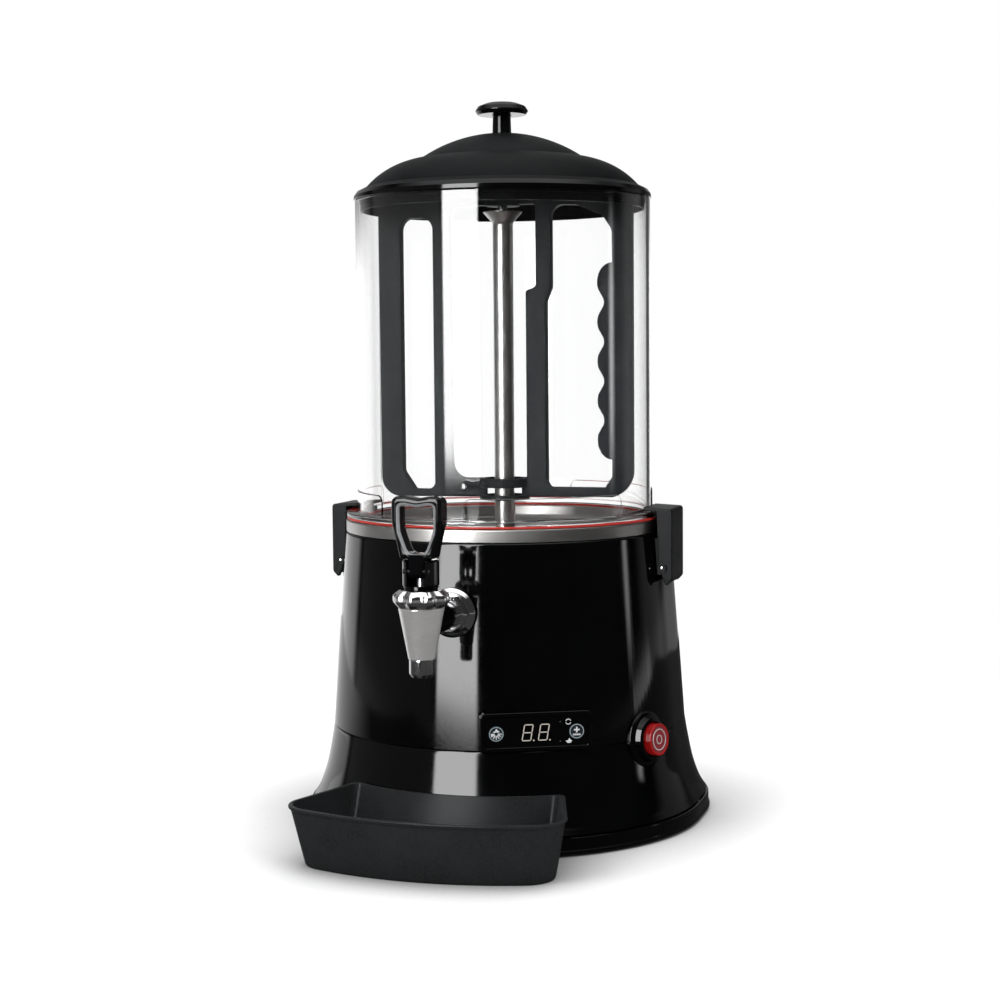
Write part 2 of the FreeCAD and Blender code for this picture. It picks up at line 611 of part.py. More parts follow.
def make_outlet_pipe(top):
    body = new_body("outlet_pipe")
    path = new_sketch(body, "outlet_path", "YZ_Plane")
    bend_y = -(s.trough_radius + s.pipe_bend)
    bend_z = s.tap_axis_height + s.pipe_bend
    end_y = -(s.shank_back + s.shank_socket - s.free_gap)
    points = [(-s.trough_radius, top), (-s.trough_radius, bend_z), (bend_y, s.tap_axis_height),
              (end_y, s.tap_axis_height)]
    plain = [(as_size(y).value, as_size(z).value) for y, z in points]
    path.addGeometry(Part.LineSegment(V(*plain[0], 0), V(*plain[1], 0)), False)
    path.addGeometry(arc_between(plain[1], plain[2], s.pipe_bend.value, "right"), False)
    path.addGeometry(Part.LineSegment(V(*plain[2], 0), V(*plain[3], 0)), False)
    held = path.addConstraint(Sketcher.Constraint("Radius", 1, s.pipe_bend.value))
    path.setExpression(f"Constraints[{held}]", s.pipe_bend.text)
    path.addConstraint(Sketcher.Constraint("Coincident", 0, 2, 1, 2))
    path.addConstraint(Sketcher.Constraint("Coincident", 1, 1, 2, 1))
    pin_point(path, 0, 1, *points[0])
    pin_point(path, 0, 2, *points[1])
    pin_point(path, 2, 1, *points[2])
    pin_point(path, 2, 2, *points[3])
    section = new_sketch(body, "outlet_section", "XY_Plane", top)
    add_circle(section, s.pipe_radius, 0, -s.trough_radius)
    add_circle(section, s.bore_radius, 0, -s.trough_radius)
    sweep = body.newObject("PartDesign::AdditivePipe", "outlet_sweep")
    sweep.Profile = section
    sweep.Spine = (path, [])
    finish("outlet_pipe", body)


def make_tank():
    inner = s.tank_radius - s.tank_wall
    body = turned_body("tank", [
        (inner, s.tank_flange_bottom), (s.tank_flange_radius, s.tank_flange_bottom),
        (s.tank_flange_radius, tank_base), (s.tank_radius, tank_base),
        (s.tank_radius, tank_top), (inner, tank_top)])
    raised = new_sketch(body, "tank_pad")
    raised.AttachmentOffset = FreeCAD.Placement(V(0, 0, 0), FreeCAD.Rotation(V(0, 1, 0), -90))
    add_rectangle(raised, s.tank_radius - s.pad_thickness, s.tank_radius + s.pad_thickness,
                  tank_base, tank_base + s.pad_height)
    revolve(body, raised, sweep=s.pad_sweep)
    finish("tank", body)
    lip_outer = inner - s.free_gap
    finish("tank_gasket", turned_body("tank_gasket", [
        (lip_outer - s.gasket_lip, s.ring_top), (s.gasket_radius, s.ring_top),
        (s.gasket_radius, s.tank_flange_bottom), (lip_outer, s.tank_flange_bottom),
        (lip_outer, s.ring_top + s.gasket_lip_height),
        (lip_outer - s.gasket_lip, s.ring_top + s.gasket_lip_height)]))


def make_lid():
    skirt_inner = s.lid_skirt_radius - s.lid_wall
    skirt_bottom = lid_bottom - s.lid_skirt_depth
    tier = lid_bottom + s.lid_tier_height
    step = lid_bottom + s.lid_step_height
    crown = lid_bottom + s.lid_dome_height
    wall = s.lid_wall
    finish("lid_skirt", turned_body("lid_skirt", [
        (skirt_inner, skirt_bottom), (s.lid_skirt_radius, skirt_bottom), (s.lid_skirt_radius, lid_bottom),
        (skirt_inner, lid_bottom)]))
    corners = [
        (skirt_inner, lid_bottom), (s.lid_rim_radius, lid_bottom),
        (s.lid_edge_radius, lid_bottom + s.lid_edge_height),
        (s.lid_bevel_radius, lid_bottom + s.lid_bevel_height), (s.lid_tier_radius, tier),
        (s.lid_step_radius, step), (0, crown), (0, crown - wall), (s.lid_step_radius - wall, step - wall),
        (s.lid_tier_radius - wall, tier - wall), (skirt_inner, tier - wall)]
    arcs = {4: (s.lid_tier_curve, "left"), 5: (s.lid_dome_curve, "left"),
            7: (s.lid_dome_curve, "right"), 8: (s.lid_tier_curve, "right")}
    lid = turned_body("lid_turned", corners, arcs)
    hole = cylinder("lid_screw_hole", s.knob_screw + s.fit_gap, wall * 3, (0, 0, crown - wall * 2))
    finish("lid", cut("lid", lid, [hole]))
    cap = s.knob_cap_radius
    seat = crown + s.fit_gap
    finish("lid_knob", turned_body("lid_knob", [
        (s.knob_screw + s.fit_gap, seat), (s.knob_stem, seat), (s.knob_stem, knob_cap_bottom),
        (cap - s.knob_cap_bevel, knob_cap_bottom), (cap, knob_cap_bottom + s.knob_edge_rise),
        (s.knob_crown_radius, s.overall_height),
        (0, s.overall_height), (0, knob_cap_bottom), (s.knob_screw + s.fit_gap, knob_cap_bottom)]))
    under = crown - wall - s.free_gap
    finish("lid_knob_screw", turned_body("lid_knob_screw", [
        (0, under - s.knob_screw_head), (s.knob_screw * 2, under - s.knob_screw_head),
        (s.knob_screw * 2, under), (s.knob_screw, under),
        (s.knob_screw, knob_cap_bottom - s.knob_screw_cover), (0, knob_cap_bottom - s.knob_screw_cover)]))


# ---- drive and stirrer ------------------------------------------------------------------


def make_drive():
    bore = s.tube_radius - s.tube_wall
    foot = s.jacket_bottom
    flange = s.tube_radius + s.tube_wall * 3
    finish("center_tube", turned_body("center_tube", [
        (bore, s.tube_foot), (flange, s.tube_foot), (flange, foot), (s.tube_radius, foot),
        (s.tube_radius, tube_top - s.tube_cone_height), (s.tube_cone_radius, tube_top - s.tube_cone_rim),
        (s.tube_cone_radius, tube_top), (bore, tube_top)]))
    running = s.shaft_radius + s.fit_gap
    seat = bore - s.fit_gap
    seal_bottom = tube_top - s.seal_height
    bush_top = seal_bottom - s.free_gap
    finish("shaft_bush_upper", turned_body(
        "shaft_bush_upper", tube_corners(running, seat, bush_top - s.bush_length, bush_top)))
    finish("shaft_bush_lower", turned_body(
        "shaft_bush_lower", tube_corners(running, seat, s.tube_foot, s.tube_foot + s.bush_length)))
    finish("shaft_seal", turned_body(
        "shaft_seal", tube_corners(s.shaft_radius + s.free_gap, seat, seal_bottom, tube_top)))
    shaft = cylinder("drive_shaft", s.shaft_radius, tank_top + s.shaft_tip_rise - s.coupling_split, (0, 0, 0))
    finish("drive_shaft", shaft, 0, 0, s.coupling_split)
    finish("shaft_coupling", turned_body("shaft_coupling", [
        (s.output_radius + s.fit_gap, s.coupling_bottom), (s.coupling_radius, s.coupling_bottom),
        (s.coupling_radius, s.coupling_top), (running, s.coupling_top),
        (running, s.coupling_split), (s.output_radius + s.fit_gap, s.coupling_split)]))
    output_length = s.coupling_split - s.fit_gap - s.output_seat
    output = cylinder("gearbox_shaft", s.output_radius, output_length, (0, 0, 0))
    finish("gearbox_shaft", output, 0, 0, s.output_seat)
    case = box("gearbox_case", (-s.gearbox_width / 2, -s.gearbox_depth / 2, s.gearbox_bottom),
               (s.gearbox_width, s.gearbox_depth, s.gearbox_top - s.gearbox_bottom))
    seat_hole = cylinder("gearbox_hole", s.output_radius + s.fit_gap, s.gearbox_top,
                         (0, 0, s.output_seat - s.fit_gap))
    finish("gearbox", cut("gearbox", case, [seat_hole]))
    motor = cylinder("motor", s.motor_radius, s.gearbox_bottom - s.motor_bottom, (0, 0, 0))
    finish("motor", motor, 0, 0, s.motor_bottom)
    half = s.bracket_width / 2
    floor = s.base_bottom + s.base_wall
    plate = box("bracket_plate", (-half, -s.bracket_depth / 2, s.gearbox_top),
                (s.bracket_width, s.bracket_depth, s.bracket_sheet))
    legs = []
    for side, x in (("left", -half), ("right", half - s.bracket_sheet)):
        legs.append(box(f"bracket_leg_{side}", (x, -s.bracket_depth / 2, floor),
                        (s.bracket_sheet, s.bracket_depth, s.gearbox_top - floor)))
    bracket_hole = cylinder("bracket_hole", s.output_radius * 1.6, s.base_radius, (0, 0, s.gearbox_bottom))
    finish("motor_bracket", cut("motor_bracket", fuse("bracket_bent", [plate] + legs), [bracket_hole]))


def make_scalloped_window(outline, low, top, step):
    """The right window, whose outer side has five round lobes below a chamfered corner."""
    scallops = 5
    root_x = s.scallop_root
    side = root_x + s.scallop_depth
    roof = top - s.right_window_roof
    sill = low + s.right_window_sill
    scallop_top = top - s.scallop_drop
    pitch = (scallop_top - low - s.scallop_rise) / scallops
    curve = pitch / 2 + s.scallop_bow
    corners = [(s.right_window_left, sill), (s.right_window_left, step), (s.right_window_step, step),
               (s.right_window_step, roof), (s.right_window_flat, roof),
               (s.right_window_bend, top - s.right_window_bend_drop),
               (side, top - s.right_window_side_drop), (side, scallop_top)]
    arcs = {}
    for index in range(scallops + 1):
        if index < scallops:
            arcs[len(corners)] = (curve, "left")
        corners.append((root_x, scallop_top - index * pitch))
    corners.append((side, scallop_top - scallops * pitch))
    corners.append((side, low + s.right_window_foot))
    corners.append((side - s.right_window_cut, sill))
    add_outline(outline, corners, arcs)


def make_stirrer():
    body = new_body("stirrer")
    outline = new_sketch(body, "stirrer_outline")
    edge = s.stirrer_radius
    foot = s.stirrer_bottom
    crown = stirrer_top
    add_outline(outline, [
        (-edge, foot + s.left_corner_rise), (s.corner_run - edge, foot + s.left_corner_lift),
        (edge - s.corner_run, foot + s.right_corner_lift), (edge, foot + s.right_corner_rise),
        (edge, crown - s.shoulder_drop), (edge - s.shoulder_run, crown - s.shoulder_lift),
        (s.crown_half, crown), (-s.crown_half, crown),
        (s.shoulder_run - edge, crown - s.shoulder_lift), (-edge, crown - s.shoulder_drop)],
        {0: (s.left_corner_curve, "left"), 2: (s.right_corner_curve, "left"),
         4: (s.shoulder_curve, "left"), 8: (s.shoulder_curve, "left")})
    left = s.outer_bar - edge
    top = tank_top - s.window_drop
    low = s.window_bottom
    add_outline(outline, [
        (left, low + s.left_window_foot), (left + s.left_window_cut, low), (-s.left_window_edge, low),
        (-s.left_window_edge, top - s.left_window_crown), (left, top - s.left_window_crown)],
        {3: (s.left_window_curve, "left")})
    sill = low + s.mid_window_sill
    step = top - s.step_drop
    add_outline(outline, [
        (-s.mid_window_left, sill + s.mid_window_corner), (s.mid_window_corner - s.mid_window_left, sill),
        (s.mid_window_right, sill), (s.mid_window_right, step), (s.mid_window_step, step),
        (s.mid_window_step, top), (-s.mid_window_left, top)], {0: (s.mid_window_corner, "left")})
    make_scalloped_window(outline, low, top, step)
    add_circle(outline, s.rinse_hole_radius, -s.rinse_hole_offset, low + s.rinse_hole_rise)
    pad(body, outline, s.stirrer_thickness, both=True)
    opening = new_sketch(body, "stirrer_collar_bore", "XY_Plane", s.stirrer_bottom)
    add_circle(opening, s.collar_bore)
    pocket(body, opening, sill + s.collar_room - s.stirrer_bottom, ahead=True)
    rings = new_sketch(body, "stirrer_collar")
    low_ring = s.stirrer_bottom + s.collar_low
    high_ring = low_ring + s.collar_gap
    add_rectangle(rings, s.collar_bore, s.collar_radius, s.stirrer_bottom, low_ring)
    add_rectangle(rings, s.collar_bore, s.collar_radius, high_ring, high_ring + s.collar_high)
    revolve(body, rings)
    hub = new_sketch(body, "stirrer_hub")
    add_rectangle(hub, 0, s.stirrer_hub_radius, hub_bottom, hub_bottom + s.hub_height)
    revolve(body, hub)
    socket = new_sketch(body, "stirrer_socket")
    add_rectangle(socket, 0, s.shaft_radius + s.fit_gap, hub_bottom, hub_bottom + s.hub_height - s.hub_roof)
    revolve(body, socket, remove=True)
    finish("stirrer", body)


# ---- tap --------------------------------------------------------------------------------


def make_tap_body():
    body = new_body("tap_body")
    outline = new_sketch(body, "tap_cone")
    add_outline(outline, [
        (0, s.cone_bottom), (s.cone_bottom_radius, s.cone_bottom), (s.cone_top_radius, s.cone_top),
        (0, s.cone_top)])
    revolve(body, outline)
    arm = new_sketch(body, "tap_arm")
    add_circle(arm, s.arm_radius, 0, s.tap_axis_height)
    pad(body, arm, s.tap_reach - s.nut_front, back=True)
    chamber = new_sketch(body, "tap_chamber")
    seat_top = s.seat_bottom + s.chamber_radius - s.seat_radius
    add_outline(chamber, [
        (0, s.cone_bottom), (s.seat_radius, s.cone_bottom), (s.seat_radius, s.seat_bottom),
        (s.chamber_radius, seat_top), (s.chamber_radius, s.cone_top), (0, s.cone_top)])
    revolve(body, chamber, remove=True)
    bore = new_sketch(body, "tap_arm_bore")
    add_circle(bore, s.bore_radius, 0, s.tap_axis_height)
    pocket(body, bore, s.tap_reach - s.nut_front)
    socket = new_sketch(body, "tap_arm_socket", offset=s.nut_front - s.tap_reach)
    add_circle(socket, s.shank_radius + s.fit_gap, 0, s.tap_axis_height)
    pocket(body, socket, s.shank_front - s.nut_front + s.free_gap, ahead=True)
    finish("tap_body", body, 0, -s.tap_reach)
    finish("tap_nozzle", turned_body("tap_nozzle", tube_corners(
        s.seat_radius, s.nozzle_radius, s.nozzle_bottom, s.cone_bottom)), 0, -s.tap_reach)


def make_tap_top():
    bevel = s.collar_chamfer
    stem_room = s.stem_radius + s.free_gap
    roof = s.collar_top - s.collar_roof
    collar = turned_body("tap_collar", [
        (s.chamber_radius, s.collar_bottom), (s.tap_collar_radius - bevel, s.collar_bottom),
        (s.tap_collar_radius, s.collar_bottom + bevel), (s.tap_collar_radius, s.collar_top - bevel),
        (s.tap_collar_radius - bevel, s.collar_top), (stem_room, s.collar_top), (stem_room, roof),
        (s.chamber_radius, roof)])
    flute = new_sketch(collar, "collar_flute", "XY_Plane", s.collar_top)
    add_circle(flute, s.flute_radius, s.tap_collar_radius + s.flute_radius - s.flute_depth)
    groove = pocket(collar, flute, s.collar_top - s.collar_bottom)
    pattern = collar.newObject("PartDesign::PolarPattern", "collar_flutes")
    pattern.Originals = [groove]
    pattern.Axis = (flute, ["N_Axis"])
    pattern.setExpression("Occurrences", s.collar_flutes.text)
    collar.Tip = pattern
    finish("tap_collar", collar, 0, -s.tap_reach)
    yoke = turned_body("tap_yoke", tube_corners(stem_room, s.yoke_radius, s.collar_top, s.yoke_top))
    slot = new_sketch(yoke, "yoke_slot")
    add_rectangle(slot, -s.yoke_slot / 2, s.yoke_slot / 2, s.yoke_floor, s.yoke_top)
    pocket(yoke, slot, s.yoke_radius * 4, both=True)
    pin_hole = new_sketch(yoke, "yoke_pin_hole", "YZ_Plane")
    add_circle(pin_hole, s.pin_radius + s.fit_gap / 2, -s.pin_offset, s.pin_height)
    pocket(yoke, pin_hole, s.yoke_radius * 4, both=True)
    finish("tap_yoke", yoke, 0, -s.tap_reach)
    pin = cylinder("tap_pin", s.pin_radius, s.pin_length, (0, 0, 0))
    finish("tap_pin", pin, s.pin_length / 2, -s.tap_reach - s.pin_offset, s.pin_height, -90, 90)


def make_tap_handle():
    body = new_body("tap_handle")
    front = s.handle_depth - s.handle_back
    half = s.handle_width / 2
    foot = s.handle_foot / 2
    top = s.handle_top
    bottom = s.handle_bottom
    loop = new_sketch(body, "handle_loop", offset=-s.handle_back)
    shoulder = s.handle_shoulder
    neck = half - s.handle_neck_inset
    neck_z = bottom + s.handle_neck_rise
    side_z = bottom + s.handle_side_rise
    add_outline(loop, [
        (-foot, bottom), (foot, bottom), (neck, neck_z), (half, side_z), (half, top - shoulder),
        (half - shoulder, top), (0, top - s.handle_dip), (shoulder - half, top), (-half, top - shoulder),
        (-half, side_z), (-neck, neck_z)],
        {4: (shoulder, "left"), 7: (shoulder, "left")})
    inner = half - s.handle_rim
    inner_neck = inner - s.loop_neck_inset
    inner_corner = inner - s.loop_corner
    add_outline(loop, [
        (-s.loop_foot, bottom + s.loop_foot), (s.loop_foot, bottom + s.loop_foot),
        (inner_neck, bottom + s.loop_neck_rise), (inner, side_z), (inner, top - s.loop_shoulder_drop),
        (inner_corner, top - s.loop_roof), (0, top - s.handle_dip - s.loop_top_rim),
        (-inner_corner, top - s.loop_roof), (-inner, top - s.loop_shoulder_drop),
        (-inner, side_z), (-inner_neck, bottom + s.loop_neck_rise)])
    pad(body, loop, s.handle_depth)
    cheek = s.yoke_slot - s.free_gap * 2
    hub_top = bottom + s.loop_foot / 3
    hub = new_sketch(body, "handle_hub", "YZ_Plane")
    add_outline(hub, [
        (-front - s.hub_proud, s.hub_floor + s.hub_chamfer), (s.hub_proud - front, s.hub_floor),
        (s.handle_back, s.hub_floor), (s.handle_back, hub_top), (-front, hub_top)])
    pad(body, hub, cheek, both=True)
    stem_slot = new_sketch(body, "handle_stem_slot", "YZ_Plane")
    add_rectangle(stem_slot, s.hub_slot_front - s.pin_offset, s.handle_back, s.hub_floor, s.hub_slot_top)
    pocket(body, stem_slot, s.stem_radius * 2 + s.free_gap * 2, both=True)
    cross_slot = new_sketch(body, "handle_cross_slot", "YZ_Plane")
    reach = s.crossbar_radius + s.crossbar_play
    add_rectangle(cross_slot, -reach, reach + s.crossbar_run, s.pin_height - reach, s.pin_height + reach)
    pocket(body, cross_slot, s.yoke_radius * 2, both=True)
    pin_hole = new_sketch(body, "handle_pin_hole", "YZ_Plane")
    add_circle(pin_hole, s.pin_radius + s.fit_gap * 2, -s.pin_offset, s.pin_height)
    pocket(body, pin_hole, s.yoke_radius * 2, both=True)
    finish("tap_handle", body, 0, -s.tap_reach)


def make_tap_valve():
    rod = cylinder("stem_rod", s.stem_radius, stem_top - s.stem_bottom, (0, 0, s.stem_bottom))
    bar = cylinder("stem_bar", s.crossbar_radius, s.crossbar_length,
                   (s.crossbar_length / 2, 0, s.pin_height), -90, 90)
    finish("tap_stem", fuse("tap_stem", [rod, bar]), 0, -s.tap_reach)
    cup_bottom = s.seat_bottom + s.seat_room
    slope_top = cup_bottom + s.cup_radius - s.seat_radius
    stem_seat = s.stem_radius + s.fit_gap
    finish("tap_seat_cup", turned_body("tap_seat_cup", [
        (0, cup_bottom), (s.seat_radius - s.fit_gap * 2, cup_bottom), (s.cup_radius, slope_top),
        (s.cup_radius, s.cup_top), (stem_seat, s.cup_top), (stem_seat, s.stem_bottom), (0, s.stem_bottom)]),
        0, -s.tap_reach)
    folds = 5
    low = s.cup_top + s.fit_gap
    pitch = (s.collar_top - s.collar_roof - s.fit_gap - low) / (folds * 2)
    outside = []
    inside = []
    for index in range(folds * 2 + 1):
        reach = s.spring_radius + s.spring_fold if index % 2 else s.spring_radius
        outside.append((reach, low + pitch * index))
        inside.append((reach - s.spring_sheet, low + pitch * index))
    finish("tap_spring", turned_body("tap_spring", outside + inside[::-1]), 0, -s.tap_reach)


def make_tap_mount():
    height = s.tap_axis_height
    shank = turned_body("shank_turned", tube_corners(
        s.bore_radius, s.shank_radius, s.shank_back, s.shank_front), hollows=[
        tube_corners(0, s.pipe_radius + s.fit_gap, s.shank_back, s.shank_back + s.shank_socket)])
    finish("tap_shank", shank, 0, 0, height, 0, 90)
    hole = s.shank_radius + s.fit_gap
    face = s.escutcheon_radius
    finish("tap_escutcheon", turned_body("tap_escutcheon", [
        (hole, s.escutcheon_back), (face, s.escutcheon_back), (face, s.escutcheon_front - 3),
        (face - 3, s.escutcheon_front), (hole, s.escutcheon_front)]), 0, 0, height, 0, 90)
    disc = cylinder("washer_disc", s.washer_radius, s.washer_radius / 2,
                    (0, s.washer_radius / 2 - s.escutcheon_back, height), 0, 90)
    span = s.washer_radius * 2
    envelope = doc.addObject("Part::Cone", "washer_shell_side")
    envelope.setExpression("Radius1", (shell_radius(height - span) + s.fit_gap).text)
    envelope.setExpression("Radius2", (shell_radius(height + span) + s.fit_gap).text)
    envelope.setExpression("Height", (span * 2).text)
    place(envelope, 0, 0, height - span)
    washer_hole = cylinder("washer_hole", hole, s.base_radius, (0, 0, height), 0, 90)
    finish("tap_washer", cut("tap_washer", disc, [envelope, washer_hole]))
    body = new_body("tap_nut")
    outline = new_sketch(body, "nut_outline", "XY_Plane", s.escutcheon_front)
    corner = s.nut_across / root(as_size(3))
    half = s.nut_across / 2
    add_outline(outline, [(corner, 0), (corner / 2, half), (-corner / 2, half), (-corner, 0),
                          (-corner / 2, -half), (corner / 2, -half)])
    add_circle(outline, hole)
    pad(body, outline, s.nut_front - s.escutcheon_front)
    finish("tap_nut", body, 0, 0, height, 0, 90)


# ---- latches ----------------------------------------------------------------------------


def make_latch(side, azimuth):
    """A draw lever whose top arm grips the tank's flange; azimuth turns it to its side."""
    body = new_body(f"latch_{side}")
    profile = new_sketch(body, f"latch_{side}_profile")
    web = s.latch_web
    sheet_wall = s.latch_sheet
    tip_low = s.latch_shoulder + s.latch_tip_rise
    add_outline(profile, [
        (s.latch_foot_reach, s.latch_foot), (web, s.latch_foot_side), (web, s.latch_shoulder + sheet_wall),
        (s.latch_tip_reach, tip_low + sheet_wall), (s.latch_tip_reach, tip_low),
        (s.latch_edge_reach, s.latch_shoulder + s.free_gap), (s.latch_root_reach, s.latch_pin_height)],
        {0: (s.latch_foot_side - s.latch_foot + s.free_gap * 6, "left")})
    pad(body, profile, s.latch_half_width * 2, both=True)
    channel = new_sketch(body, f"latch_{side}_channel")
    web_inner = web - sheet_wall
    add_outline(channel, [
        (s.latch_pin_reach - s.latch_hollow, s.latch_foot), (web_inner, s.latch_foot),
        (web_inner, s.latch_shoulder), (s.latch_edge_reach, s.latch_shoulder + s.free_gap),
        (s.latch_edge_reach - s.latch_hollow, s.latch_shoulder - s.latch_hollow)])
    pocket(body, channel, (s.latch_half_width - sheet_wall) * 2, both=True)
    pin_hole = new_sketch(body, f"latch_{side}_pin_hole")
    add_circle(pin_hole, s.latch_pin_radius + s.fit_gap * 2, s.latch_pin_reach, s.latch_pin_height)
    pocket(body, pin_hole, s.latch_half_width * 4, both=True)
    finish(f"latch_{side}", body, azimuth=azimuth)
    half = s.latch_half_width - sheet_wall - s.free_gap * 2
    bracket_root = s.shell_top_radius - s.latch_bracket_root
    bracket_bottom = s.latch_pin_height - s.latch_bracket_below
    bracket_rise = s.latch_bracket_below + s.latch_bracket_above
    block = box(f"bracket_block_{side}", (bracket_root, -half, bracket_bottom),
                (s.latch_bracket_reach - bracket_root, half * 2, bracket_rise))
    envelope = doc.addObject("Part::Cone", f"bracket_shell_side_{side}")
    low = bracket_bottom - s.latch_bracket_margin
    high = s.shell_top
    envelope.setExpression("Radius1", (shell_radius(low) + s.fit_gap).text)
    envelope.setExpression("Radius2", (shell_radius(high) + s.fit_gap).text)
    envelope.setExpression("Height", (high - low).text)
    place(envelope, 0, 0, low)
    # the pin lies along -Y from the far side of the channel
    hole = cylinder(f"bracket_pin_hole_{side}", s.latch_pin_radius + s.fit_gap / 2, s.latch_half_width * 2,
                    (s.latch_pin_reach, s.latch_half_width, s.latch_pin_height), 0, 90)
    # beside the casing's straight side the rear half of the block is cut by a flat instead of the cone
    flat_start = 0 if azimuth == 0 else -half
    flat = box(f"bracket_flat_{side}", (0, flat_start, low),
               (shell_radius(low) + s.fit_gap, half, high - low))
    tools = [envelope, hole, flat]
    finish(f"latch_bracket_{side}", cut(f"latch_bracket_{side}", block, tools), azimuth=azimuth)
    reach = s.latch_half_width + s.free_gap
    rod = cylinder(f"pin_rod_{side}", s.latch_pin_radius, (reach + s.latch_head) * 2,
                   (0, reach + s.latch_head, 0), 0, 90)
    heads = []
    for end, y in (("near", reach + s.latch_head), ("far", -reach)):
        heads.append(cylinder(f"pin_head_{side}_{end}", s.latch_head_radius, s.latch_head, (0, y, 0), 0, 90))
    x = s.latch_pin_reach if azimuth == 0 else -s.latch_pin_reach
    finish(f"latch_pin_{side}", fuse(f"latch_pin_{side}", [rod] + heads), x, 0, s.latch_pin_height)


# ---- control panel and power switch -----------------------------------------------------


def make_panel():
    """The panel's pieces face -Y here; their Placement turns them to the panel's azimuth."""
    az = s.panel_azimuth
    half = s.panel_width / 2
    low = panel_bottom
    high = panel_bottom + s.panel_height
    corner = s.panel_corner
    frame = new_body("control_panel_frame")
    outline = new_sketch(frame, "frame_outline", offset=s.panel_back)
    add_outline(outline, [
        (-half, low), (half, low), (half, high - corner), (half - corner, high), (corner - half, high),
        (-half, high - corner)], {2: (corner, "left"), 4: (corner, "left")})
    border = s.panel_border
    add_rectangle(outline, border - half, half - border, low + border, high - border)
    pad(frame, outline, s.panel_face - s.panel_back)
    finish("control_panel_frame", frame, azimuth=az)
    window = new_body("display_window")
    front = s.panel_face - s.window_recess
    pane = new_sketch(window, "window_outline", offset=front - s.window_sheet)
    gap = s.fit_gap * 2
    add_rectangle(pane, border - half + gap, half - border - gap, low + border + gap, high - border - gap)
    for side in (-1, 1):
        add_circle(pane, s.key_radius + s.free_gap, side * s.key_offset, s.key_height)
    pad(window, pane, s.window_sheet)
    finish("display_window", window, azimuth=az)
    window_back = front - s.window_sheet
    module_bottom = (low + high) / 2 - s.module_height / 2
    lip = s.module_foot
    module = box("display_module_case", (-s.module_width / 2, -window_back + s.free_gap, module_bottom),
                 (s.module_width, window_back - s.free_gap - s.panel_back, s.module_height))
    finish("display_module", fuse("display_module", [module, box(
        "display_module_foot", (-s.module_width / 2 - lip, -s.panel_back - lip, module_bottom - lip),
        (s.module_width + lip * 2, lip, s.module_height + lip * 2))]), azimuth=az)
    margin = s.board_margin
    board = box("control_board_sheet", (margin - half, -s.panel_back, low + margin),
                (half * 2 - margin * 2, s.board_sheet, s.panel_height - margin * 2))
    board_hole = cylinder("control_board_hole", s.board_hole, s.board_sheet * 4,
                          (0, s.board_sheet * 2 - s.panel_back, low + margin * 4), 0, 90)
    finish("control_board", cut("control_board", board, [board_hole]), azimuth=az)
    switches = []
    for side in (-1, 1):
        switches.append(box("tact_switch", (side * s.key_offset - s.switch_width / 2,
                                            -s.panel_back - s.switch_depth, s.key_height - s.switch_width / 2),
                            (s.switch_width, s.switch_depth, s.switch_width)))
    finish("tact_switches", group("tact_switches", switches), azimuth=az)
    key_tail = s.panel_back + s.switch_depth + s.key_travel + s.free_gap
    flange_front = window_back - s.free_gap
    flange_back = flange_front - s.key_flange_sheet
    key_front = front + s.key_proud
    for name, side in (("key_left", -1), ("key_right", 1)):
        x = side * s.key_offset
        key = turned_body(name, [
            (0, key_tail), (s.key_radius, key_tail), (s.key_radius, flange_back), (s.key_flange, flange_back),
            (s.key_flange, flange_front), (s.key_radius, flange_front), (s.key_radius, key_front),
            (0, key_front)])
        finish(name, key, x * cosine(az), x * sine(az), s.key_height, az, 90)


def make_power_switch():
    """These pieces are turned about Z, which the Placement lays along the switch's tilted axis."""
    az = s.power_azimuth
    x = s.power_reach * sine(az)
    y = -s.power_reach * cosine(az)
    lean = 90 - s.power_tilt
    bore = s.button_radius + s.free_gap
    chamfer = s.button_chamfer
    switch_back = -s.bezel_depth - s.switch_length
    switch_bore = bore + s.switch_rim
    switch_floor = -s.button_tail - s.button_travel - s.free_gap
    pieces = {
        "power_bezel": [
            (bore, -s.bezel_depth), (s.bezel_radius, -s.bezel_depth), (s.bezel_radius, -s.bezel_edge),
            (s.bezel_radius - s.bezel_edge_run, 0), (s.bezel_face, 0), (bore, -s.bezel_dish)],
        "power_button": [
            (0, -s.button_tail), (s.button_radius, -s.button_tail), (s.button_radius, s.button_proud - chamfer),
            (s.button_radius - chamfer, s.button_proud), (0, s.button_proud)],
        "power_switch_body": [
            (0, switch_back), (s.switch_radius, switch_back), (s.switch_radius, -s.bezel_depth),
            (switch_bore, -s.bezel_depth), (switch_bore, switch_floor), (0, switch_floor)],
    }
    for label, corners in pieces.items():
        finish(label, turned_body(label, corners), x, y, s.power_height, az, lean)


# ---- drip tray --------------------------------------------------------------------------


def tray_outline(sketch, share, back_radius, inset):
    """The tray in plan: share 0 is its floor and 1 its rim; inset moves the outline inwards."""
    def between(low, high):
        return low + (high - low) * share
    back = s.tray_back_half - inset
    back_y = -root((back_radius + inset) * (back_radius + inset) - back * back)
    side = between(s.tray_side_half_low, s.tray_side_half) - inset
    side_y = -between(s.tray_side_front_low, s.tray_side_front)
    nose = between(s.tray_nose_half_low, s.tray_nose_half) - inset / 2
    front = between(s.tray_front_low, s.front_reach) - inset
    drop = between(s.tray_nose_drop_low, s.tray_nose_drop)
    nose_y = drop - front
    front_curve = (nose * nose + drop * drop) / (drop * 2)
    corner = between(s.tray_corner_low, s.tray_corner) - inset
    add_outline(sketch, [(-back, back_y), (-side, side_y), (-nose, nose_y), (nose, nose_y),
                         (side, side_y), (back, back_y)],
                {1: (corner, "left"), 2: (front_curve, "left"), 3: (corner, "left"),
                 5: (back_radius + inset, "right")})


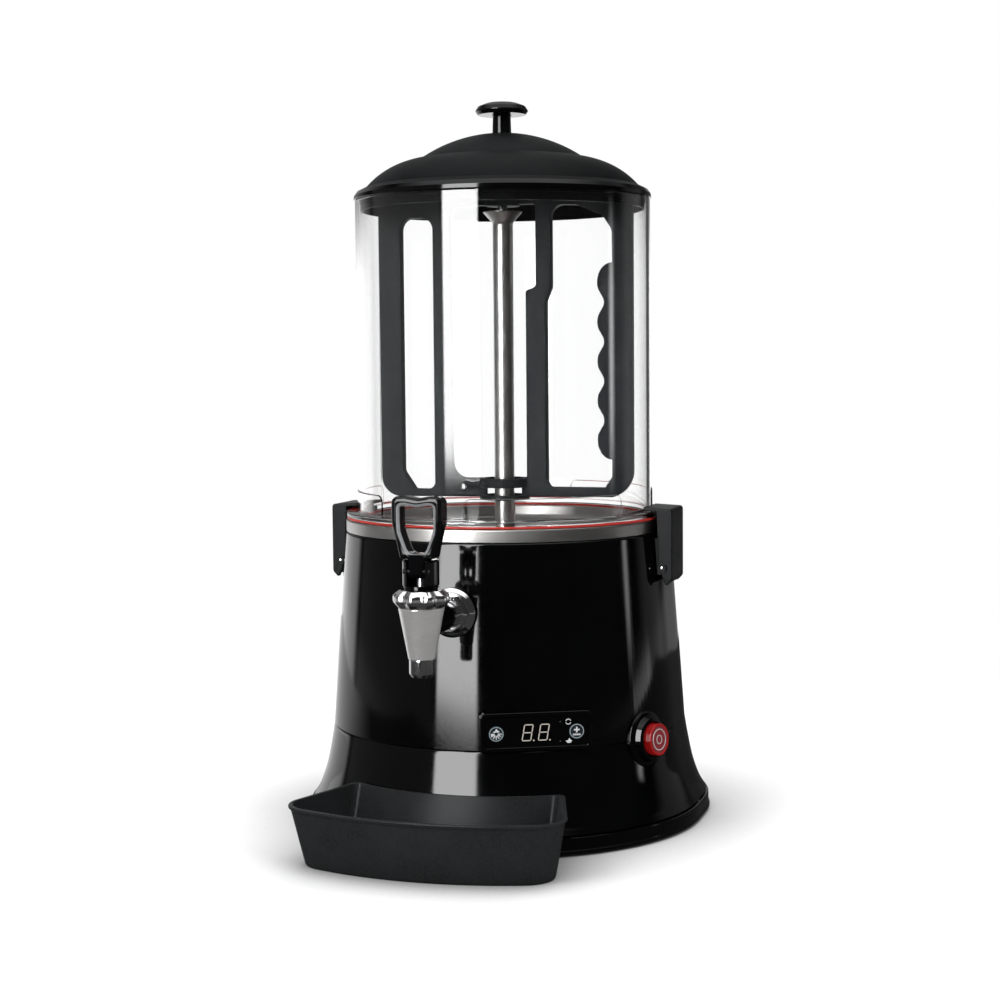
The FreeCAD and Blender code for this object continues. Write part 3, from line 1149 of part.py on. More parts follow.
def tray_loft(body, name, kind, inset, floor):
    knee_share = (s.tray_knee - s.tray_bottom) / (s.tray_top - s.tray_bottom)
    floor_share = (floor - s.tray_bottom) / (s.tray_top - s.tray_bottom)
    heel = s.base_radius + s.tray_gap
    back = s.base_radius - s.tray_back_inset
    levels = [(floor_share, floor, heel), (knee_share, s.tray_knee, heel), (as_size(1), s.tray_top, back)]
    sections = []
    for index, (share, height, back_radius) in enumerate(levels):
        sketch = new_sketch(body, f"{name}{index}", "XY_Plane", height)
        tray_outline(sketch, share, back_radius, inset)
        sections.append(sketch)
    loft = body.newObject(kind, f"{name}_loft")
    loft.Profile = sections[0]
    loft.Sections = sections[1:]
    loft.Ruled = True
    return loft


def make_tray():
    body = new_body("drip_tray")
    tray_loft(body, "tray_outside", "PartDesign::AdditiveLoft", as_size(0), s.tray_bottom)
    tray_loft(body, "tray_inside", "PartDesign::SubtractiveLoft", s.tray_wall, s.tray_bottom + s.tray_wall)
    finish("drip_tray", body)


# ---- the whole machine ------------------------------------------------------------------

make_upper_shell()
make_lower_skirt()
make_base()
make_basin()
make_tank()
make_lid()
make_drive()
make_stirrer()
make_tap_body()
make_tap_top()
make_tap_handle()
make_tap_valve()
make_tap_mount()
make_latch("right", 0)
make_latch("left", 180)
make_panel()
make_power_switch()
make_tray()
doc.recompute()

faults = []
for item in doc.Objects:
    if "Invalid" in item.State or "Error" in item.State:
        faults.append(f"{item.Name} {item.State}")
for label, item in parts.items():
    if item.Shape.isNull() or not item.Shape.isValid() or not item.Shape.Solids:
        faults.append(f"{label} has no valid solid")
if faults:
    raise RuntimeError("; ".join(faults))

os.makedirs("parts", exist_ok=True)
for label, item in parts.items():
    item.Shape.exportStep(f"parts/{label}.step")
    bounds = item.Shape.BoundBox
    print(f"{label:22} solids {len(item.Shape.Solids)} volume {item.Shape.Volume:10.0f} "
          f"x {bounds.XMin:7.1f} {bounds.XMax:7.1f} y {bounds.YMin:7.1f} {bounds.YMax:7.1f} "
          f"z {bounds.ZMin:7.1f} {bounds.ZMax:7.1f}")
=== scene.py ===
import math
import bmesh
import bpy
from mathutils import Matrix, Vector


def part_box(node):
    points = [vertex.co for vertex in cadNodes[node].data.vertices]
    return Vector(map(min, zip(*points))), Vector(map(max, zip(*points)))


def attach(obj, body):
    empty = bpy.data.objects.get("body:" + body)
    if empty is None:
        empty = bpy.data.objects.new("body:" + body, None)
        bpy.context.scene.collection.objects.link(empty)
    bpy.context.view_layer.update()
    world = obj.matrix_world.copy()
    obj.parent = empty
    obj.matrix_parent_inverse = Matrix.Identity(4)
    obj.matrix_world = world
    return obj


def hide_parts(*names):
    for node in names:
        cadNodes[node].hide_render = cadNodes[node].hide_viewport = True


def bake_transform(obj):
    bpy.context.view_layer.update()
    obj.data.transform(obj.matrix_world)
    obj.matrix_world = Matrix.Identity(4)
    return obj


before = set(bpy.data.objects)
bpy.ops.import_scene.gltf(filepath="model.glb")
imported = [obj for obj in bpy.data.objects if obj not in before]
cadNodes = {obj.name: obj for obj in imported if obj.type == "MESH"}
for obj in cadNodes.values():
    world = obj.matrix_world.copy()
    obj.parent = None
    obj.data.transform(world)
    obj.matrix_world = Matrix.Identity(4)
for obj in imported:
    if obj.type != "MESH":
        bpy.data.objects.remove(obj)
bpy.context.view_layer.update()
scene = bpy.context.scene
print("frame loaded with", len(cadNodes), "nodes")

# Pieces are drawn in millimetres about the tank's axis, which stands 37 mm behind the middle of the footprint.
millimetres = Matrix.Scale(0.001, 4)
axisShift = Matrix.Translation((0, 0.037, 0)) @ millimetres


def seatAt(x=0, y=0, z=0, azimuth=0, lean=0):
    turn = Matrix.Rotation(math.radians(azimuth), 4, "Z") @ Matrix.Rotation(math.radians(lean), 4, "X")
    return axisShift @ Matrix.Translation((x, y, z)) @ turn


def linkedObject(name, data):
    holder = bpy.data.objects.new(name, data)
    scene.collection.objects.link(holder)
    return holder


# camera

cameraPlace = {
    "distance": 1515.7, "height": 366.8, "aside": -4, "azimuth": 17.4, "pitch": 4.295, "roll": -0.495, "lens": 67.716,
    "sensor": 36}


def makeCamera(distance, height, aside, azimuth, pitch, roll, lens, sensor):
    azimuth, pitch, roll = (math.radians(angle) for angle in (azimuth, pitch, roll))
    side = Vector((math.cos(azimuth), math.sin(azimuth), 0))
    ahead = Vector((-math.sin(azimuth), math.cos(azimuth), 0))
    spot = axisShift @ (side * aside - ahead * distance + Vector((0, 0, height)))
    look = ahead * math.cos(pitch) - Vector((0, 0, math.sin(pitch)))
    up = side.cross(look)
    across = side * math.cos(roll) + up * math.sin(roll)
    upright = up * math.cos(roll) - side * math.sin(roll)
    data = bpy.data.cameras.new("studioCamera")
    data.sensor_width = sensor
    data.lens = lens
    camera = linkedObject("studioCamera", data)
    camera.matrix_world = Matrix.Translation(spot) @ Matrix((across, upright, -look)).transposed().to_4x4()
    scene.camera = camera


makeCamera(**cameraPlace)
print("camera set")


# node helpers

def addNode(tree, kind, values=None, **settings):
    node = tree.nodes.new("ShaderNode" + kind)
    for name, value in settings.items():
        setattr(node, name, value)
    for name, value in (values or {}).items():
        if isinstance(value, bpy.types.NodeSocket):
            tree.links.new(value, node.inputs[name])
        else:
            node.inputs[name].default_value = value
    return node


def mathNode(tree, operation, *values):
    return addNode(tree, "Math", dict(enumerate(values)), operation=operation).outputs[0]


def product(tree, first, second):
    return mathNode(tree, "MULTIPLY", first, second)


def softStep(tree, value, low, high, start=0, end=1):
    values = {"Value": value, "From Min": low, "From Max": high, "To Min": start, "To Max": end}
    return addNode(tree, "MapRange", values, interpolation_type="SMOOTHSTEP").outputs[0]


def softBand(tree, value, low, high, edge):
    rising = softStep(tree, value, low - edge, low + edge)
    falling = softStep(tree, value, high - edge, high + edge, 1, 0)
    return product(tree, rising, falling)


def blendColours(tree, share, first, second):
    return addNode(tree, "Mix", {0: share, 6: first, 7: second}, data_type="RGBA").outputs[2]


def mixShaders(tree, share, first, second):
    values = {0: share, 1: first.outputs[0], 2: second.outputs[0]}
    return addNode(tree, "MixShader", values)


def newFinish(name):
    material = bpy.data.materials.new(name)
    material.use_nodes = True
    tree = material.node_tree
    tree.nodes.clear()
    return material, tree


# closes a node tree with its last shader
def closeTree(tree, shader, kind="Material"):
    tree.links.new(shader.outputs[0], addNode(tree, "Output" + kind).inputs[0])


# the same colour, darker or lighter by a share
def opaque(colour, share=1):
    return tuple(min(part * share, 1) for part in colour) + (1,)


# size is the spacing of the pattern in millimetres
def speckle(tree, size, stretch=(1, 1, 1)):
    place = addNode(tree, "TexCoord").outputs["Object"]
    scaled = addNode(tree, "Mapping", {"Vector": place, "Scale": stretch}).outputs[0]
    values = {"Vector": scaled, "Scale": 1000 / size, "Detail": 3, "Roughness": 0.55}
    return addNode(tree, "TexNoise", values).outputs["Fac"]


# a solid finish: fine grain in the bump, slow patches in the roughness and a little shade in the colour
def mouldedFinish(name, colour, rough, grain=1, relief=0.01, wear=0.03, metal=0, stretch=(1, 1, 1), shade=0.25,
                  patch=30, shine=0.5):
    material, tree = newFinish(name)
    slow = speckle(tree, patch)
    fine = speckle(tree, grain, stretch)
    mixed = mathNode(tree, "MULTIPLY_ADD", fine, 0.5, product(tree, slow, 0.5))
    tint = blendColours(tree, softStep(tree, mixed, 0.3, 0.7), opaque(colour, 1 - shade), opaque(colour, 1 + shade))
    gloss = softStep(tree, mixed, 0.3, 0.7, rough - wear, rough + wear)
    bump = addNode(tree, "Bump", {"Height": fine, "Strength": relief, "Distance": 0.0005}).outputs[0]
    closeTree(tree, addNode(tree, "BsdfPrincipled", {
        "Base Color": tint, "Roughness": gloss, "Metallic": metal, "Specular IOR Level": shine, "Normal": bump}))
    return material


drawnUp, drawnAround = (1, 1, 0.04), (0.06, 0.06, 1)  # grain that runs up a piece or around it
glossBlack = mouldedFinish("glossBlackCasing", (0.0011, 0.0012, 0.0014), 0.07, 2, 0.004, 0.025, shade=0.4, patch=50,
                           shine=0.27)
handleBlack = mouldedFinish("glossBlackHandle", (0.004, 0.004, 0.0045), 0.12, shine=0.2)
hubBlack = mouldedFinish("handleHubBlack", (0.004, 0.004, 0.0045), 0.5, 1, 0.1, 0.05, shine=0)
# painted highlight: a light grey that stands in for the light the black gloss of the handle catches on its bevel
paintedHighlightGrey = mouldedFinish("paintedHighlightBevel", (0.3, 0.31, 0.32), 0.3, wear=0.05)
trayBlack = mouldedFinish("glossBlackTray", (0.022, 0.023, 0.024), 0.3, 1.5, wear=0.04, shade=0.2, patch=40, shine=0.05)
lidBlack = mouldedFinish("grainedLidBlack", (0.003, 0.0033, 0.0036), 0.42, 0.9, 0.5, 0.05, shade=0.35, shine=0.04)
satinBlack = mouldedFinish("satinLatchBlack", (0.004, 0.0045, 0.005), 0.36, 0.6, 0.2, 0.06, shine=0.08)
paddleBlack = mouldedFinish("paddleGreyBlack", (0.022, 0.025, 0.027), 0.45, 0.8, 0.15, 0.05, shine=0.12)
rubberBlack = mouldedFinish("footRubber", (0.02, 0.02, 0.02), 0.75, 0.5, 0.3, 0.08)
sealRed = mouldedFinish("sealRed", (0.5, 0.03, 0.02), 0.45, 1.2, 0.1, 0.08)
chromeSteel = mouldedFinish("polishedSteel", (0.78, 0.78, 0.79), 0.08, 0.5, metal=1, shade=0.06)
brushedSteel = mouldedFinish("brushedSteel", (0.6, 0.6, 0.61), 0.28, 0.3, 0.08, 0.08, 1, drawnUp, 0.15)
tubeSteel = mouldedFinish("tubeSteel", (0.6, 0.59, 0.58), 0.34, 0.3, 0.02, 0.05, 1, drawnUp, 0.1)
coneSteel = mouldedFinish("tapConeSteel", (0.74, 0.73, 0.72), 0.2, 0.3, 0.03, 0.05, 0.6, drawnAround, 0.1)
basinSteel = mouldedFinish("basinSteel", (0.36, 0.35, 0.34), 0.36, 0.4, 0.02, 0.04, metal=1, shade=0.08)
bronzeTan = mouldedFinish("sinteredBronze", (0.55, 0.36, 0.16), 0.45, 0.4, 0.2, 0.1, metal=1)
castGrey = mouldedFinish("castAluminium", (0.5, 0.5, 0.51), 0.5, 1.5, 0.4, 0.1, metal=1)
motorEnamel = mouldedFinish("motorEnamel", (0.06, 0.07, 0.08), 0.35, 2, 0.2, 0.08)
boardGreen = mouldedFinish("boardGreen", (0.02, 0.14, 0.05), 0.4, 3, 0.05, 0.1)
windowBlack = mouldedFinish("smokedWindow", (0.001, 0.001, 0.0014), 0.05, 1, 0.002, 0.02, shine=0.3)
buttonRed = mouldedFinish("translucentRed", (0.33, 0.008, 0.008), 0.12, shade=0.2)
buttonFace = mouldedFinish("rosyButtonFace", (0.2, 0.028, 0.035), 0.1, shade=0.3, patch=6)
buttonRing = mouldedFinish("paleButtonRings", (0.5, 0.44, 0.43), 0.15, shade=0.1)
keySlate = mouldedFinish("slateKeyFace", (0.022, 0.027, 0.03), 0.15, 0.6, wear=0.04, shade=0.5, patch=3)


# clear plastic that lets the lamps through; faint draw lines show in its roughness
def clearWallFinish(name, tint, rough=(0.0075, 0.027), ior=1.45):
    material, tree = newFinish(name)
    gloss = softStep(tree, speckle(tree, 4, (1, 1, 0.05)), 0.3, 0.7, *rough)
    wall = addNode(tree, "BsdfPrincipled", {
        "Base Color": opaque(tint), "Roughness": gloss, "IOR": ior, "Transmission Weight": 1})
    through = addNode(tree, "BsdfTransparent")
    shadow = addNode(tree, "LightPath").outputs["Is Shadow Ray"]
    closeTree(tree, mixShaders(tree, shadow, wall, through))
    return material


# a lit symbol behind the window, with a slightly uneven glow
def glowFinish(name, colour, strength, base=(0.3, 0.3, 0.3)):
    material, tree = newFinish(name)
    uneven = softStep(tree, speckle(tree, 1.5), 0.2, 0.8)
    glow = blendColours(tree, uneven, opaque(colour, 0.85), opaque(colour))
    closeTree(tree, addNode(tree, "BsdfPrincipled", {
        "Base Color": opaque(base), "Roughness": 0.3, "Emission Color": glow, "Emission Strength": strength}))
    return material


clearWall = clearWallFinish("clearTankWall", (0.997, 1, 0.998))
digitGlow = glowFinish("digitGlow", (1, 0.9, 0.78), 0.5, (0.1, 0.1, 0.1))
iconGlow = glowFinish("iconGlow", (0.8, 0.85, 0.88), 0.5)
ringGlow = glowFinish("ringGlow", (0.3, 0.55, 0.68), 0.3)
dimGlow = glowFinish("dimGlow", (0.5, 0.6, 0.7), 0.04, (0.02, 0.02, 0.02))
print("finishes made")


# outline helpers

# rounds each corner that is given with a radius: (x, y, radius)
def eased(points, closed=True, steps=4):
    rounded = []
    for number, point in enumerate(points):
        radius = point[2] if len(point) > 2 else 0
        if not radius or (not closed and number in (0, len(points) - 1)):
            rounded.append((point[0], point[1]))
            continue
        here = Vector(point[:2])
        before = Vector(points[number - 1][:2]) - here
        after = Vector(points[(number + 1) % len(points)][:2]) - here
        half = before.angle(after) / 2
        back = min(radius / math.tan(half), before.length * 0.48, after.length * 0.48)
        radius = back * math.tan(half)
        centre = here + (before.normalized() + after.normalized()).normalized() * (radius / math.sin(half))
        first = here + before.normalized() * back - centre
        last = here + after.normalized() * back - centre
        sweep = first.angle_signed(last)
        for step in range(steps + 1):
            turned = first.copy()
            turned.rotate(Matrix.Rotation(-sweep * step / steps, 2))
            rounded.append(tuple(centre + turned))
    return rounded


# the points of an arc from one angle to another, in degrees
def arcPoints(radius, start, end, steps, x=0, y=0):
    angles = [math.radians(start + (end - start) * step / steps) for step in range(steps + 1)]
    return [(x + radius * math.cos(angle), y + radius * math.sin(angle)) for angle in angles]


def circlePoints(radius, x=0, y=0, steps=40):
    return arcPoints(radius, 0, 360, steps, x, y)[:-1]


# points after start up to end on the shorter arc that turns left (1) or right (-1)
def arcThrough(start, end, radius, turn=1, steps=10):
    first = Vector(start)
    last = Vector(end)
    chord = last - first
    rise = math.sqrt(max(radius ** 2 - chord.length_squared / 4, 0))
    centre = (first + last) / 2 + turn * rise * Vector((-chord.y, chord.x)).normalized()
    begin, finish = (math.degrees(math.atan2(spot.y - centre.y, spot.x - centre.x)) for spot in (first, last))
    sweep = (finish - begin) * turn % 360 * turn
    return arcPoints(radius, begin, begin + sweep, steps, *centre)[1:]


# a smooth line through the points, as a half section of a flared wall
def smoothThrough(points, steps=6):
    line = []
    padded = [points[0]] + list(points) + [points[-1]]
    for number in range(1, len(padded) - 2):
        before, here, ahead, beyond = (Vector(padded[number + offset]) for offset in (-1, 0, 1, 2))
        bend = 2 * before - 5 * here + 4 * ahead - beyond
        twist = 3 * here - before - 3 * ahead + beyond
        for step in range(steps):
            t = step / steps
            line.append(tuple(0.5 * (2 * here + (ahead - before) * t + bend * t * t + twist * t ** 3)))
    line.append(tuple(points[-1]))
    return line


# an outline from its right half, which runs from the foot up to the middle
def mirrored(right):
    left = [(-x, y, radius) for x, y, radius in right[-2::-1]]
    return left[-1:] + right + left[:-1]


def shifted(points, x, y):
    return [(x + across, y + up) for across, up in points]


# mesh helpers

def joinRings(shape, rings, closed):
    for low, high in zip(rings, rings[1:] + (rings[:1] if closed else [])):
        count = max(len(low), len(high))
        for number in range(count):
            after = (number + 1) % count
            corners = dict.fromkeys(ring[spot % len(ring)] for ring, spot in (
                (low, number), (low, after), (high, after), (high, number)))
            if len(corners) > 2:
                shape.faces.new(list(corners))


def meshOf(shape, place):
    bmesh.ops.remove_doubles(shape, verts=shape.verts, dist=0.0005)
    bmesh.ops.recalc_face_normals(shape, faces=shape.faces)
    mesh = bpy.data.meshes.new("drawn")
    shape.to_mesh(mesh)
    shape.free()
    mesh.transform(place)
    return mesh


# joins outlines of equal count, each a list of (x, y, z), into a wall
def ringMesh(levels, place=seatAt(), closed=True, capped=False):
    shape = bmesh.new()
    rings = [[shape.verts.new(point) for point in level] for level in levels]
    joinRings(shape, rings, closed)
    for ring in (rings[0], rings[-1]) if capped else ():
        shape.faces.new(ring)
    return meshOf(shape, place)


# turns a half section of (radius, height) about Z; wave may change the radius with the angle
def turnedMesh(section, place=seatAt(), steps=96, closed=False, wave=None):
    levels = []
    for radius, height in section:
        turns = [2 * math.pi * number / steps for number in range(steps)] if radius > 0.0001 else [0]
        reaches = [wave(radius, turn) if wave else radius for turn in turns]
        levels.append([(reach * math.cos(turn), reach * math.sin(turn), height)
                       for reach, turn in zip(reaches, turns)])
    return ringMesh(levels, place, closed)


# a turned piece from a section whose points may have a rounding: (radius, height, rounding)
def turnedPiece(section, place=seatAt(), steps=96, rounds=4, closed=True, wave=None):
    return turnedMesh(eased(section, closed, rounds), place, steps, closed, wave)


def rodMesh(radius, low, high, place=seatAt(), steps=96):
    return turnedMesh([(0, low), (radius, low), (radius, high), (0, high)], place, steps)


def boxMesh(low, high, place=seatAt()):
    outline = [(low[0], low[1]), (high[0], low[1]), (high[0], high[1]), (low[0], high[1])]
    return ringMesh([[(x, y, level) for x, y in outline] for level in (low[2], high[2])], place, False, True)


# a flat plate with holes and rounded edges, drawn in X and Y and centred on its thickness
def plateMesh(outlines, thickness, edge, place, rounds=2):
    curve = bpy.data.curves.new("plate", "CURVE")
    curve.dimensions = "2D"
    curve.fill_mode = "BOTH"
    curve.extrude = thickness / 2 - edge
    curve.bevel_depth = edge
    curve.bevel_resolution = rounds
    curve.offset = -edge
    for outline in outlines:
        spline = curve.splines.new("POLY")
        spline.points.add(len(outline) - 1)
        for point, (x, y) in zip(spline.points, outline):
            point.co = (x, y, 0, 1)
        spline.use_cyclic_u = True
    holder = bpy.data.objects.new("plate", curve)
    mesh = bpy.data.meshes.new_from_object(holder)
    bpy.data.objects.remove(holder)
    bpy.data.curves.remove(curve)
    shape = bmesh.new()
    shape.from_mesh(mesh)
    bpy.data.meshes.remove(mesh)
    return meshOf(shape, place)


def joinMeshes(meshes):
    shape = bmesh.new()
    for mesh in meshes:
        shape.from_mesh(mesh)
        bpy.data.meshes.remove(mesh)
    joined = bpy.data.meshes.new("joined")
    shape.to_mesh(joined)
    shape.free()
    return joined


# the mesh of an object with its modifiers applied; the objects in use are removed
def bakedMesh(holder, tools=()):
    bpy.context.view_layer.update()
    baked = bpy.data.meshes.new_from_object(holder.evaluated_get(bpy.context.evaluated_depsgraph_get()))
    for item in [*tools, holder]:
        bpy.data.objects.remove(item)
    return baked


# large faces lead the shading, so a narrow rounded edge doesn't bend the light on the wall beside it
def settleShading(mesh, crease):
    mesh.shade_smooth()
    mesh.set_sharp_from_angle(angle=math.radians(crease))
    holder = linkedObject("settled", mesh)
    weighing = holder.modifiers.new("settled", "WEIGHTED_NORMAL")
    weighing.keep_sharp = True
    weighing.weight = 80
    settled = bakedMesh(holder)
    bpy.data.meshes.remove(mesh)
    return settled


# cuts closed meshes out of a mesh, or joins them to it, and returns the result
def carve(mesh, cutters, operation="DIFFERENCE"):
    block = linkedObject("carved", mesh)
    tools = [linkedObject("cutter", cutter) for cutter in cutters]
    for tool in tools:
        change = block.modifiers.new("cut", "BOOLEAN")
        change.operation = operation
        change.object = tool
        change.solver = "EXACT"
    return bakedMesh(block, tools)


def addPiece(name, mesh, finish, slotName, *nodes, body="machine", crease=32):
    mesh = settleShading(mesh, crease)
    mesh.name = name
    mesh.materials.append(finish)
    piece = linkedObject(name, mesh)
    if body:
        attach(piece, body)
    if nodes:
        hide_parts(*nodes)
    return piece


# casings, whose plan is a half circle in front, straight sides and rounded rear corners;
# a hole has a radius and the span that is cut

plan = {"inset": 22, "run": 25}

casing = {
    "wall": 3, "foot": (156.6, 14.5), "seam": (139.6, 75), "glandHeight": 35,
    "tapHole": (8.4, 100, 200), "glandHole": (8.3, 120, 200),
    "shell": [(139.6, 76, 0.7), (128.5, 230.3, 2.2), (113, 230.3), (113, 227.3), (125.5, 227.3), (136.6, 76)],
    "flare": [(157, 15.6), (155.2, 18.4), (153, 22), (150.2, 28.5), (146, 41.5), (142.4, 59), (139.7, 74.6)],
    "lip": [(139.1, 75.6), (133.5, 75.6), (133.5, 82), (131, 82), (131, 75.6)]}

tap = {"reach": -202, "height": 179}

panel = {
    "azimuth": 26.3, "face": 139.6, "back": 127.6, "width": 84, "bottom": 76, "height": 29.4, "border": 3.5,
    "corner": 3.5, "recess": 0.6, "keyOffset": 30.3, "keyHeight": 90.2, "keyRadius": 5.9, "room": 0.15}

power = {"azimuth": 67, "tilt": 4.7, "reach": 141.84, "height": 75.3, "hole": (21.75, -22, 40)}

powerAngle = math.radians(power["azimuth"])
powerSeat = seatAt(power["reach"] * math.sin(powerAngle), -power["reach"] * math.cos(powerAngle), power["height"],
                   power["azimuth"], 90 - power["tilt"])


def planRing(radius, height):
    inset, run = plan["inset"], plan["run"]
    corner = radius - inset
    points = arcPoints(radius, 180, 360, 96) + [(radius, run * step / 3) for step in (1, 2)]
    points += arcPoints(corner, 0, 90, 26, inset, run)
    points += [(inset - 2 * inset * step / 5, run + corner) for step in range(1, 5)]
    points += arcPoints(corner, 90, 180, 26, -inset, run) + [(-radius, run * step / 3) for step in (2, 1)]
    return [(x, y, height) for x, y in points]


def planMesh(section, capped=False):
    return ringMesh([planRing(radius, height) for radius, height in section], closed=not capped, capped=capped)


def addCasing(name, section, hole, node):
    room = panel["room"]
    half = panel["width"] / 2 + room
    panelHole = boxMesh((-half, -200, panel["bottom"] - room),
                        (half, 1 - panel["back"], panel["bottom"] + panel["height"] + room),
                        seatAt(azimuth=panel["azimuth"]))
    powerHole = rodMesh(*power["hole"], powerSeat)
    addPiece(name, carve(planMesh(section), [panelHole, powerHole, hole]), glossBlack, "black_gloss", node)


def makeCasings(wall, shell, foot, flare, seam, lip, tapHole, glandHole, glandHeight):
    addCasing("casingUpper", eased(shell, steps=5),
              rodMesh(*tapHole, seatAt(z=tap["height"], lean=90), 48), "upper_shell")
    outside = smoothThrough(flare)[:-1] + [seam]
    inside = [(radius - wall, height) for radius, height in reversed(outside)]
    addCasing("casingSkirt", [foot] + outside + lip + inside[1:] + [(foot[0] - wall, foot[1])],
              rodMesh(*glandHole, seatAt(z=glandHeight, azimuth=180, lean=90), 48), "lower_skirt")


base = {
    "postReach": 146.5, "post": (5, 4.1, 13.9), "vents": 4, "ventPitch": 14, "ventWidth": 5, "ventStart": 40,
    "ventEnd": 100, "ventTop": 6.6,
    "band": [(158.4, 1.6), (159.4, 1.9), (159.9, 2.5), (160, 3.4), (159.85, 4.2), (159.1, 4.6), (159, 5), (159, 13),
        (158.7, 13.7), (158.2, 14), (157, 14), (157, 4.6)],
    "screwHole": [(0, 0), (3.5, 0), (3.5, 3.7), (1.8, 3.7), (1.8, 20), (0, 20)]}


def makeBase(band, postReach, post, screwHole, vents, ventPitch, ventWidth, ventStart, ventEnd, ventTop):
    slope = math.sqrt(0.5)
    rear = (postReach - plan["inset"]) * slope
    places = []
    for side in (-1, 1):
        places.append(seatAt(side * postReach * slope, -postReach * slope))
        places.append(seatAt(side * (plan["inset"] + rear), plan["run"] + rear))
    posts = [rodMesh(*post, place, 32) for place in places]
    holes = [turnedMesh(screwHole, place, 32) for place in places]
    for number in range(vents):
        start = (number - (vents - 1) / 2) * ventPitch - ventWidth / 2
        holes.append(boxMesh((start, ventStart, 0), (start + ventWidth, ventEnd, ventTop)))
    addPiece("baseBand", carve(carve(planMesh(band, capped=True), posts, "UNION"), holes), glossBlack, "black_gloss",
             "base_plate")


makeCasings(**casing)
makeBase(**base)
print("casings made")


# basin ring, gasket and tank; turned pieces have a half section of (radius, height, rounding)

basin = {
    "steps": 192, "rounds": 6,
    "section": [(126.4, 230.5), (127.9, 230.5, 0.4), (127.9, 240.3, 1.6), (110.5, 240.3, 1.5), (108.5, 230.8, 6),
        (80, 222.3, 20), (24, 230.8, 10), (8.15, 230.8), (8.15, 229.3), (24, 229.3, 10), (80, 220.8, 20),
        (110, 229.3, 6), (112, 238.8), (126.4, 238.8)]}
addPiece("basinRing", turnedPiece(**basin), basinSteel, "polished_steel", "product_basin")

gasket = {
    "steps": 192, "rounds": 3,
    "section": [(116, 240.35), (127.2, 240.35, 0.8), (127.2, 242.25, 0.8), (116, 242.25, 0.5)]}
addPiece("redSeal", turnedPiece(**gasket), sealRed, "red_seal", "tank_gasket")

tank = {
    "steps": 256,
    "section": [(114.5, 242.3), (128, 242.3, 1), (128, 246.3, 1.4), (117.5, 246.3, 2), (117.5, 492.3, 0.8),
        (114.5, 492.3, 0.8)]}
pad = {
    "radius": 117.5, "sunk": 1, "proud": 1.3, "low": 245.3, "top": 262.5, "corner": 6, "half": 32, "edge": 0.5,
    "slope": 0.6, "steps": 48}
padAzimuths = (34, -68, 136)


# a thickened pad at the foot of the wall, with its two upper corners rounded
def tankPad(azimuth, radius, sunk, proud, low, top, corner, half, edge, slope, steps):
    reach = math.radians(half) * radius
    columns = []
    for number in range(-steps, steps + 1):
        along = reach * math.sin(math.pi / 2 * number / steps)
        over = max(0, abs(along) - reach + corner)
        high = top - corner + math.sqrt(max(corner ** 2 - over ** 2, 0.01))
        swing = math.radians(azimuth) + along / radius
        inner = radius - sunk
        outer = radius + proud - (edge if abs(number) == steps else 0)
        columns.append([(spot * math.sin(swing), -spot * math.cos(swing), height) for spot, height in (
            (inner, low), (outer, low), (outer, high - slope), (outer - edge, high), (inner, high))])
    return ringMesh(columns, closed=False, capped=True)


tankWall = carve(turnedPiece(**tank), [tankPad(azimuth, **pad) for azimuth in padAzimuths], "UNION")
addPiece("clearTank", tankWall, clearWall, "clear_tank", "tank")
print("basin and tank made")


# lid and knob; heights of the lid count from its bottom

lid = {
    "bottom": 492.6, "wall": 2.5, "bevel": [(115.8, 6.7), (110.2, 9.4)], "tier": (109, 9.9), "tierCurve": 66,
    "step": (66, 32.4), "domeCurve": 116, "crown": (0, 53),
    "skirt": [(110.7, 7.4), (110.7, -8.6), (113.2, -8.6), (113.2, -4), (113.9, -3.7), (113.9, -2.6), (113.2, -2.3),
        (113.2, 4)],
    "rimBand": [(113.22, 0), (118.7, 0, 0.5), (118.3, 3.4, 0.6), (115.9, 6.8, 0.5), (113.22, 6)]}

knob = {
    "steps": 128, "rounds": 6, "closed": False,
    "section": [(0, 545.65), (7.5, 545.65), (7.1, 560, 1.5), (19.2, 560, 1), (21.2, 563, 1.2), (18.8, 566.8, 3),
        (11.8, 569.4, 6), (0, 570)]}


def makeLid(bottom, wall, bevel, tier, tierCurve, step, domeCurve, crown, skirt, rimBand):
    place = seatAt(z=bottom)
    skin = bevel + [tier] + arcThrough(tier, step, tierCurve, steps=24) + arcThrough(step, crown, domeCurve, steps=24)
    under = [(max(radius - wall * 0.3, 0), height - wall) for radius, height in reversed(skin[1:])]
    addPiece("lidCover", turnedMesh(skin + under + skirt, place, 192, closed=True), lidBlack, "black_satin", "lid",
             "lid_skirt", body="lid", crease=20)
    addPiece("lidRimBand", turnedPiece(rimBand, place, 192), glossBlack, "black_satin", body="lid")


makeLid(**lid)
addPiece("lidKnob", turnedPiece(**knob), handleBlack, "black_satin", "lid_knob", body="lid", crease=40)
print("lid made")


# standing tube and stirrer

standingTube = {
    "rounds": 5,
    "section": [(6.1, 150), (14.1, 150), (14.1, 155), (8.1, 155), (8.1, 474.6, 4), (15.5, 483, 0.5),
        (15.5, 484, 0.4), (6.1, 484)]}
addPiece("standingTube", turnedPiece(**standingTube), tubeSteel, "brushed_steel", "center_tube")

